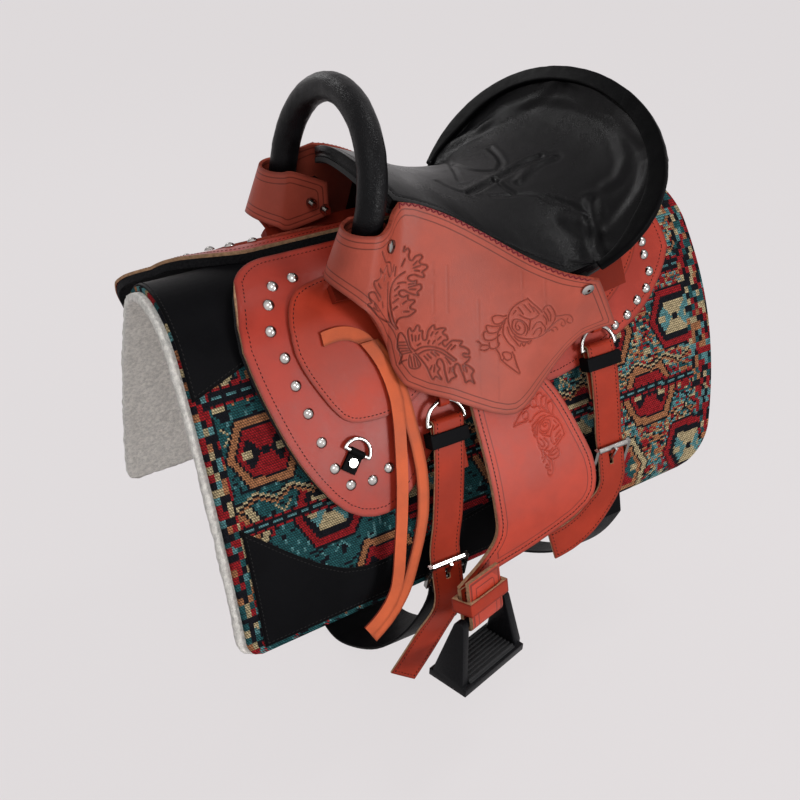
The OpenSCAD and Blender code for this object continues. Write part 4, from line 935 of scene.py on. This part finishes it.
class SADDLE_OT_pad(bpy.types.Operator):
    """Makes the pad: fleece lining, woven face and black wear patches"""
    bl_idname = "saddle.pad"
    bl_label = "Pad"

    def execute(self, context):
        look = looks("pad")
        lining = pad_sheet("pad_lining", 0.0045, 0.0086)
        apply(lining, "SOLIDIFY", thickness=0.0080, offset=-1)
        roughened(lining, look.pile * 0.5, 130)
        roughened(lining, look.pile * 0.4, 30, 7)
        lining.data.materials.append(finish("fleece"))
        done(lining, "pad_fleece", "fleece")

        face = pad_sheet("pad_woven_face", look.knot, 0.0143, 0.008)
        mesh = face.data
        uv = mesh.uv_layers[0]
        uv.name = "knots"
        x, s, _ = unflank(coords(mesh))
        at = np.empty(len(mesh.loops), int)
        mesh.loops.foreach_get("vertex_index", at)
        uv.data.foreach_set("uv", np.stack([x[at], s[at]], 1).ravel() / look.knot)
        centre = np.array([f.center for f in mesh.polygons])
        x, s, _ = unflank(centre)
        attribute(mesh, "yarn", yarn_colours(x, s), "FACE", "FLOAT_COLOR")
        apply(face, "SOLIDIFY", thickness=0.0048, offset=-1, use_rim_only=True)
        face.data.materials.append(finish("kilim"))
        done(face, "pad_carpet", "woven_face")

        for part in ("withers", "near_wear", "off_wear"):
            sheet_of_leather(part + "_patch", part + "_leather", "black_leather", "black_leather", (0.004,),
                             "black_edge", "black_thread")
        return {"FINISHED"}


class SADDLE_OT_skirts(bpy.types.Operator):
    """Makes the skirts: felts, skirt leathers, front and rear jockeys, and the breast dees' tabs"""
    bl_idname = "saddle.skirts"
    bl_label = "Skirts"

    def execute(self, context):
        for side in ("near", "off"):
            felt = copied(side + "_skirt_felt", side + "_felt")
            bevel(felt, 0.0022)
            subdivide(felt, 2)
            roughened(felt, 0.0002, 240)
            felt.data.materials.append(finish("felt"))
            done(felt, side + "_skirt_felt", "felt")
            sheet_of_leather(side + "_skirt", side + "_skirt_leather", "skirt_leather", "skirt_leather",
                             (0.0085,))
            for node in (side + "_front_jockey", side + "_rear_jockey"):
                sheet_of_leather(node, node + "_leather", "upper_leather", "jockey_leather", (0.005,),
                                 "red_edge")
        tabs = copied("dee_tabs", "dee_tab_leather")
        tabs.data.materials.append(finish("black_leather"))
        subdivide(tabs, 1, simple=True)
        no_edge(tabs)
        done(tabs, "dee_tabs", "black_leather", smooth=False)
        bpy.ops.object.shade_smooth_by_angle(angle=math.radians(40))
        return {"FINISHED"}


# The dish's two ridges and the folds of its cover: strokes, half width and height
SEAT_RELIEF = (
    (("10,62 20,48 33,33 48,23 64,16.5 80,14.5 96,16.5 112,22 124,31 133,43 138,56 137.5,69 133,83 "
      "124,96 115,106",), 0.0075, 0.0026),
    (("38,43 50,33 66,27.5 80,26 96,29 108,35 117,44 122,56 123,64 119,74 112,79",), 0.0065, 0.0014),
    (("59,76 64,70 72,65 80,62",), 0.0045, 0.0022),
    (("90,100 96,102 101,103",), 0.0080, 0.0022),
    (("30,83 40,78 48,74 56,69 64,64 72,61",), 0.0038, -0.0028),
    (("20,66 30,69 40,70 49,69", "45,74 50,79 56,83", "42,56 47,61 49,65 47,69"), 0.0030, -0.0016),
    (("43,85 54,85 64,84 74,85 85,88", "72,85 80,89 90,90 100,96", "10,76 18,80 26,83 33,85",
      "14,62 20,68 24,76"), 0.0026, -0.0011),
    (("103,88 104,96 105,106 107,116 112,124",), 0.0060, -0.0034),
)
# How far the cover's edge tucks into the brim
BRIM_TUCK = 0.0032


def seat_relief(piece, brim):
    """Closes the cover on to the brim, then raises its ridges and sinks its folds and its seam."""
    co = coords(piece.data)
    inset = np.empty(len(co), np.float32)
    piece.data.attributes["inset"].data.foreach_get("value", inset)
    for i in np.nonzero((inset < 16) & (co[:, 0] < -0.06))[0]:
        spot = brim.find_nearest(Vector(co[i]), 0.03)[0]
        if spot is not None:
            way = np.array(spot) - co[i]
            share = min(1.0, 1.5 * (1 - inset[i] / 16))
            co[i] += way * share * (1 + BRIM_TUCK / max(np.linalg.norm(way), BRIM_TUCK))
    set_coords(piece.data, co)
    skin = skin_of(piece)
    n = normals(piece.data)
    lift = np.zeros(len(co))
    for strokes, half, height in SEAT_RELIEF:
        paths = drawn(strokes, lambda x, y: (420 + 1.658 * x, 55 + 1.658 * y), skin)
        r = distances(paths, 0.03)(co) / half
        lift += height * (np.exp(-r ** 2) - 0.3 * np.exp(-((r - 1.9) / 0.8) ** 2))
    seam = np.exp(-((inset - 9) / 1.6) ** 2) * np.clip((co[:, 0] + 0.13) / 0.03, 0, 1)
    uneven = [field.noise(Vector(p) * 22) * 0.5 + field.noise(Vector(p) * 60) * 0.18 for p in co]
    lift += np.array(uneven) * looks("seat").crease
    fade = np.clip(inset / 5, 0, 1)
    set_coords(piece.data, co + n * (lift * fade - 0.0009 * seam)[:, None])


class SADDLE_OT_seat(bpy.types.Operator):
    """Makes the seat: cushion, cantle rim and back, tooled side leathers and the hand loop's wrap"""
    bl_idname = "saddle.seat"
    bl_label = "Seat"

    def execute(self, context):
        cushion = copied("seat_cushion", "seat_cover")
        loops, tree = sides(cushion, top=True)
        subdivide(cushion, 1, simple=True)
        bevel(cushion, 0.0015, angle=math.radians(45))
        subdivide(cushion, 2)
        cushion.data.materials.append(finish("seat_leather"))
        edge_distance(cushion, loops[:1])
        seat_relief(cushion, skin_of(frame["nodes"]["cantle_rim"]))
        done(cushion, "seat_cushion", "black_leather")
        stitched(cushion, "seat_cushion", loops[:1], tree, (0.009,), lambda p: p.x > -0.125, "black_thread")

        for node, name in (("cantle_rim", "cantle_brim"), ("cantle_back", "cantle_back_leather")):
            rim = copied(node, name)
            subdivide(rim, 1, simple=True)
            bevel(rim, 0.002)
            subdivide(rim, 2)
            roughened(rim, 0.0003, 60)
            rim.data.materials.append(finish("brim_leather"))
            no_edge(rim)
            done(rim, node, "black_leather")

        below = skin_of(cushion)
        leaves, scroll, marks = [], [], []

        def at_seat(p):
            return below.find_nearest(p, 0.014)[0] is not None

        def tool(piece):
            if not leaves:
                skin = skin_of(piece)
                leaves.extend(drawn(OAK_LEAVES, lambda x, y: (360 + 0.9695 * x, 240 + 0.9695 * y), skin))
                scroll.extend(drawn(SCROLL, lambda x, y: (470 + 0.829 * x, 280 + 0.829 * y), skin))
                marks.extend(drawn(("433,262 434,310 437,380", "447,266 448,312", "478,300 479,330 481,395",
                                    "498,330 499,400", "522,272 523,300", "545,280 546,306"),
                                   lambda x, y: (x, y), skin))
                sets = leaves, scroll, marks
            else:
                sets = mirrored(leaves), mirrored(scroll), mirrored(marks)
            tooled(piece, [(sets[0], 0.00085, 0.0011, 0.85), (sets[1], 0.00062, 0.0008, 0.62),
                           (sets[2], 0.0012, 0.00012, 0.14)])

        for side in ("near", "off"):
            node = side + "_seat_jockey"
            piece = sheet_of_leather(node, side + "_side_leather", "jockey_leather", "jockey_leather",
                                     edge="red_edge", shape=tool)
            loops, tree = sides(copied(node, side + "_lacing_guide"))
            bpy.data.objects.remove(bpy.data.objects[side + "_lacing_guide"])
            stitched(piece, node, loops[:1], tree, (0.0016,), at_seat, "lace", pitch=0.0034,
                     size=(0.0052, 0.0016, 0.0016), zigzag=1.0)
        wrap = copied("handle_wrap", "hand_loop_wrap")
        wrap.data.materials.append(finish("wrap_leather"))
        roughened(wrap, 0.0004, 90)
        no_edge(wrap)
        done(wrap, "handle_wrap", "black_leather")
        return {"FINISHED"}


class SADDLE_OT_straps(bpy.types.Operator):
    """Makes the straps: rigging straps, billets with keepers, girth, flank strap and tie strings"""
    bl_idname = "saddle.straps"
    bl_label = "Straps"

    def execute(self, context):
        for side in ("near", "off"):
            for end in ("front", "rear"):
                node = side + "_" + end + "_billet"
                sheet_of_leather(node, node + "_leather", "strap_leather", "jockey_leather", (0.0045,))
            sheet_of_leather(side + "_tie_string", side + "_tie_thong", "thong_leather", "thong_leather",
                             edge="red_edge")
        for node, name in (("rigging_straps", "rigging_leather"), ("girth", "girth_band"),
                           ("flank_strap", "flank_band"), ("billet_keepers", "keeper_bands")):
            band = copied(node, name)
            bevel(band, 0.0008)
            subdivide(band, 2)
            dark = node in ("girth", "flank_strap", "billet_keepers")
            band.data.materials.append(finish("black_leather" if dark else "strap_leather"))
            no_edge(band)
            done(band, node, "black_leather" if dark else "jockey_leather")
        return {"FINISHED"}


class SADDLE_OT_fenders(bpy.types.Operator):
    """Makes the fenders, hobble straps, stirrups and treads"""
    bl_idname = "saddle.fenders"
    bl_label = "Fenders and stirrups"

    def execute(self, context):
        floral = []

        def tool(piece):
            if not floral:
                floral.extend(drawn(SCROLL, lambda x, y: (545 - 0.56 * (y - 57), 425 + 0.76 * (x - 58)),
                                    skin_of(piece)))
                paths = floral
            else:
                paths = mirrored(floral)
            tooled(piece, [(paths, 0.0006, 0.0006, 0.34)])

        for side in ("near", "off"):
            sheet_of_leather(side + "_fender", side + "_fender_leather", "fender_leather", "jockey_leather",
                             (0.0065,), shape=tool)
            sheet_of_leather(side + "_hobble_strap", side + "_hobble_leather", "strap_leather",
                             "jockey_leather")
            for node, name, surface, width, segments in (
                    ("_stirrup", "_stirrup_iron", "stirrup_metal", 0.0022, 3),
                    ("_tread", "_tread_rubber", "rubber", 0.0007, 2)):
                piece = copied(side + node, side + name)
                bevel(piece, width, segments, math.radians(40))
                piece.data.materials.append(finish(surface))
                done(piece, side + node, surface, smooth=False)
                bpy.ops.object.shade_smooth_by_angle(angle=math.radians(35))
        return {"FINISHED"}


METAL_NODES = {
    "nickel": ("skirt_studs", "jockey_screws", "tab_rivets", "near_breast_dee", "off_breast_dee",
               "rigging_dees", "buckle_frames", "buckle_tongues", "near_front_roller", "off_front_roller",
               "near_rear_roller", "off_rear_roller", "handle_bolts"),
    "steel": ("front_arch", "rear_arch", "handle_core", "stirrup_hangers"),
    # Tree bars: leather colour painted lighter to offset the shade they sit in.
    "rawhide": ("near_tree_bar", "off_tree_bar"),
    "seat_shell": ("ground_seat",),
}


class SADDLE_OT_hardware(bpy.types.Operator):
    """Gives the metal, the tree and the seat's shell their finishes"""
    bl_idname = "saddle.hardware"
    bl_label = "Hardware"

    def execute(self, context):
        for name, nodes in METAL_NODES.items():
            for node in nodes:
                mesh = frame["nodes"][node].data
                mesh.materials.clear()
                mesh.materials.append(finish(name))
        return {"FINISHED"}


def seen_plain(add):
    """One for the camera's rays and for those that are reflected or let through."""
    path = add("ShaderNodeLightPath").outputs
    return calc(add, "MAXIMUM", path["Is Camera Ray"],
                calc(add, "MAXIMUM", path["Is Glossy Ray"], path["Is Transmission Ray"]))


def backdrop(name, tint):
    """A pale surface that the camera sees as a plain colour, and that still takes the object's shadow."""
    material = bpy.data.materials.new(name)
    material.use_nodes = True
    tree = material.node_tree
    tree.nodes.clear()
    add = adder(tree)
    out = add("ShaderNodeOutputMaterial")
    where = add("ShaderNodeTexCoord").outputs["Object"]
    base = mixed(add, noise(add, where, 3.0), deeper(tint, 0.99), deeper(tint, 1.01))
    lit = add("ShaderNodeBsdfPrincipled", {"Base Color": base, "Roughness": 0.9}).outputs[0]
    plain = add("ShaderNodeEmission", {"Color": (*tint, 1), "Strength": 1.0}).outputs[0]
    mix = add("ShaderNodeMixShader", {0: calc(add, "MULTIPLY", seen_plain(add), 0.9), 1: lit, 2: plain})
    tree.links.new(mix.outputs[0], out.inputs[0])
    return material


def lamp(name, place, aim, size, power):
    data = bpy.data.lights.new(name, "AREA")
    data.size = size
    data.energy = power
    lit = bpy.data.objects.new(name, data)
    bpy.context.scene.collection.objects.link(lit)
    lit.location = place
    lit.rotation_mode = "QUATERNION"
    lit.rotation_quaternion = (Vector(aim) - Vector(place)).to_track_quat("-Z", "Y")


class SADDLE_OT_stage(bpy.types.Operator):
    """Sets the camera at the photograph's angle, a pale floor and soft studio light"""
    bl_idname = "saddle.stage"
    bl_label = "Stage"

    def execute(self, context):
        scene = context.scene
        scene.view_settings.view_transform = "Standard"
        right, up, back = eye_axes()
        data = bpy.data.cameras.new("Camera")
        data.sensor_width = 36
        data.lens = FOCAL_PX / FRAME_PX * 36
        data.clip_start, data.clip_end = 0.01, 100
        eye = bpy.data.objects.new("Camera", data)
        scene.collection.objects.link(eye)
        turn = Matrix((right, up, back)).transposed()
        eye.matrix_world = Matrix.Translation(EYE) @ turn.to_4x4()
        scene.camera = eye

        pale = (0.770, 0.735, 0.742)
        bpy.ops.object.select_all(action="DESELECT")
        bpy.ops.mesh.primitive_plane_add(size=12, location=(0, 0, CAD_BOX[0].z - 0.0005))
        floor = context.object
        floor.name = "floor"
        bpy.ops.object.transform_apply(location=True, rotation=True, scale=True)
        floor.data.materials.append(backdrop("floor_paper", pale))

        world = bpy.data.worlds.new("Studio")
        scene.world = world
        world.use_nodes = True
        tree = world.node_tree
        tree.nodes.clear()
        add = adder(tree)
        soft = add("ShaderNodeBackground", {"Color": (0.95, 0.97, 1.0, 1), "Strength": 0.45}).outputs[0]
        plain = add("ShaderNodeBackground", {"Color": (*pale, 1), "Strength": 1.0}).outputs[0]
        out = add("ShaderNodeOutputWorld")
        mix = add("ShaderNodeMixShader", {0: seen_plain(add), 1: soft, 2: plain})
        tree.links.new(mix.outputs[0], out.inputs[0])

        lamp("Key", (1.1, 1.5, 1.7), (0, 0, -0.1), 1.2, 12)
        lamp("Side", (-0.68, 2.08, 0.16), (0, 0.1, -0.1), 0.55, 21)
        lamp("Top", (-0.9, 0.25, 1.75), (-0.1, 0, 0.05), 0.5, 10)
        lamp("Far", (0.2, -1.9, 0.9), (0, 0, 0.05), 0.6, 6)
        return {"FINISHED"}


class SADDLE_PT_panel(bpy.types.Panel):
    """Lists the saddle's pieces and the looks that can be changed"""
    bl_idname = "SADDLE_PT_panel"
    bl_label = "Endurance saddle"
    bl_space_type = "VIEW_3D"
    bl_region_type = "UI"
    bl_category = "Saddle"

    def draw(self, context):
        for step in STEPS:
            self.layout.operator(step.bl_idname)
        for name in LOOKS:
            group = looks(name)
            for word in group.bl_rna.properties.keys():
                if word not in ("rna_type", "name"):
                    self.layout.prop(group, word)


LOOKS = {"leather": SaddleLeather, "pad": SaddlePad, "seat": SaddleSeat}
STEPS = (SADDLE_OT_stage, SADDLE_OT_pad, SADDLE_OT_skirts, SADDLE_OT_seat, SADDLE_OT_straps,
         SADDLE_OT_fenders, SADDLE_OT_hardware)


def register():
    for kind in (*LOOKS.values(), *STEPS, SADDLE_PT_panel):
        bpy.utils.register_class(kind)
    for name, kind in LOOKS.items():
        setattr(bpy.types.Scene, "saddle_" + name, PointerProperty(type=kind))


def unregister():
    for name in LOOKS:
        delattr(bpy.types.Scene, "saddle_" + name)
    for kind in reversed((*LOOKS.values(), *STEPS, SADDLE_PT_panel)):
        bpy.utils.unregister_class(kind)


def main():
    register()
    for step in STEPS:
        area, name = step.bl_idname.split(".")
        getattr(getattr(bpy.ops, area), name)()
    bpy.context.view_layer.update()


if __name__ == "__main__":
    main()
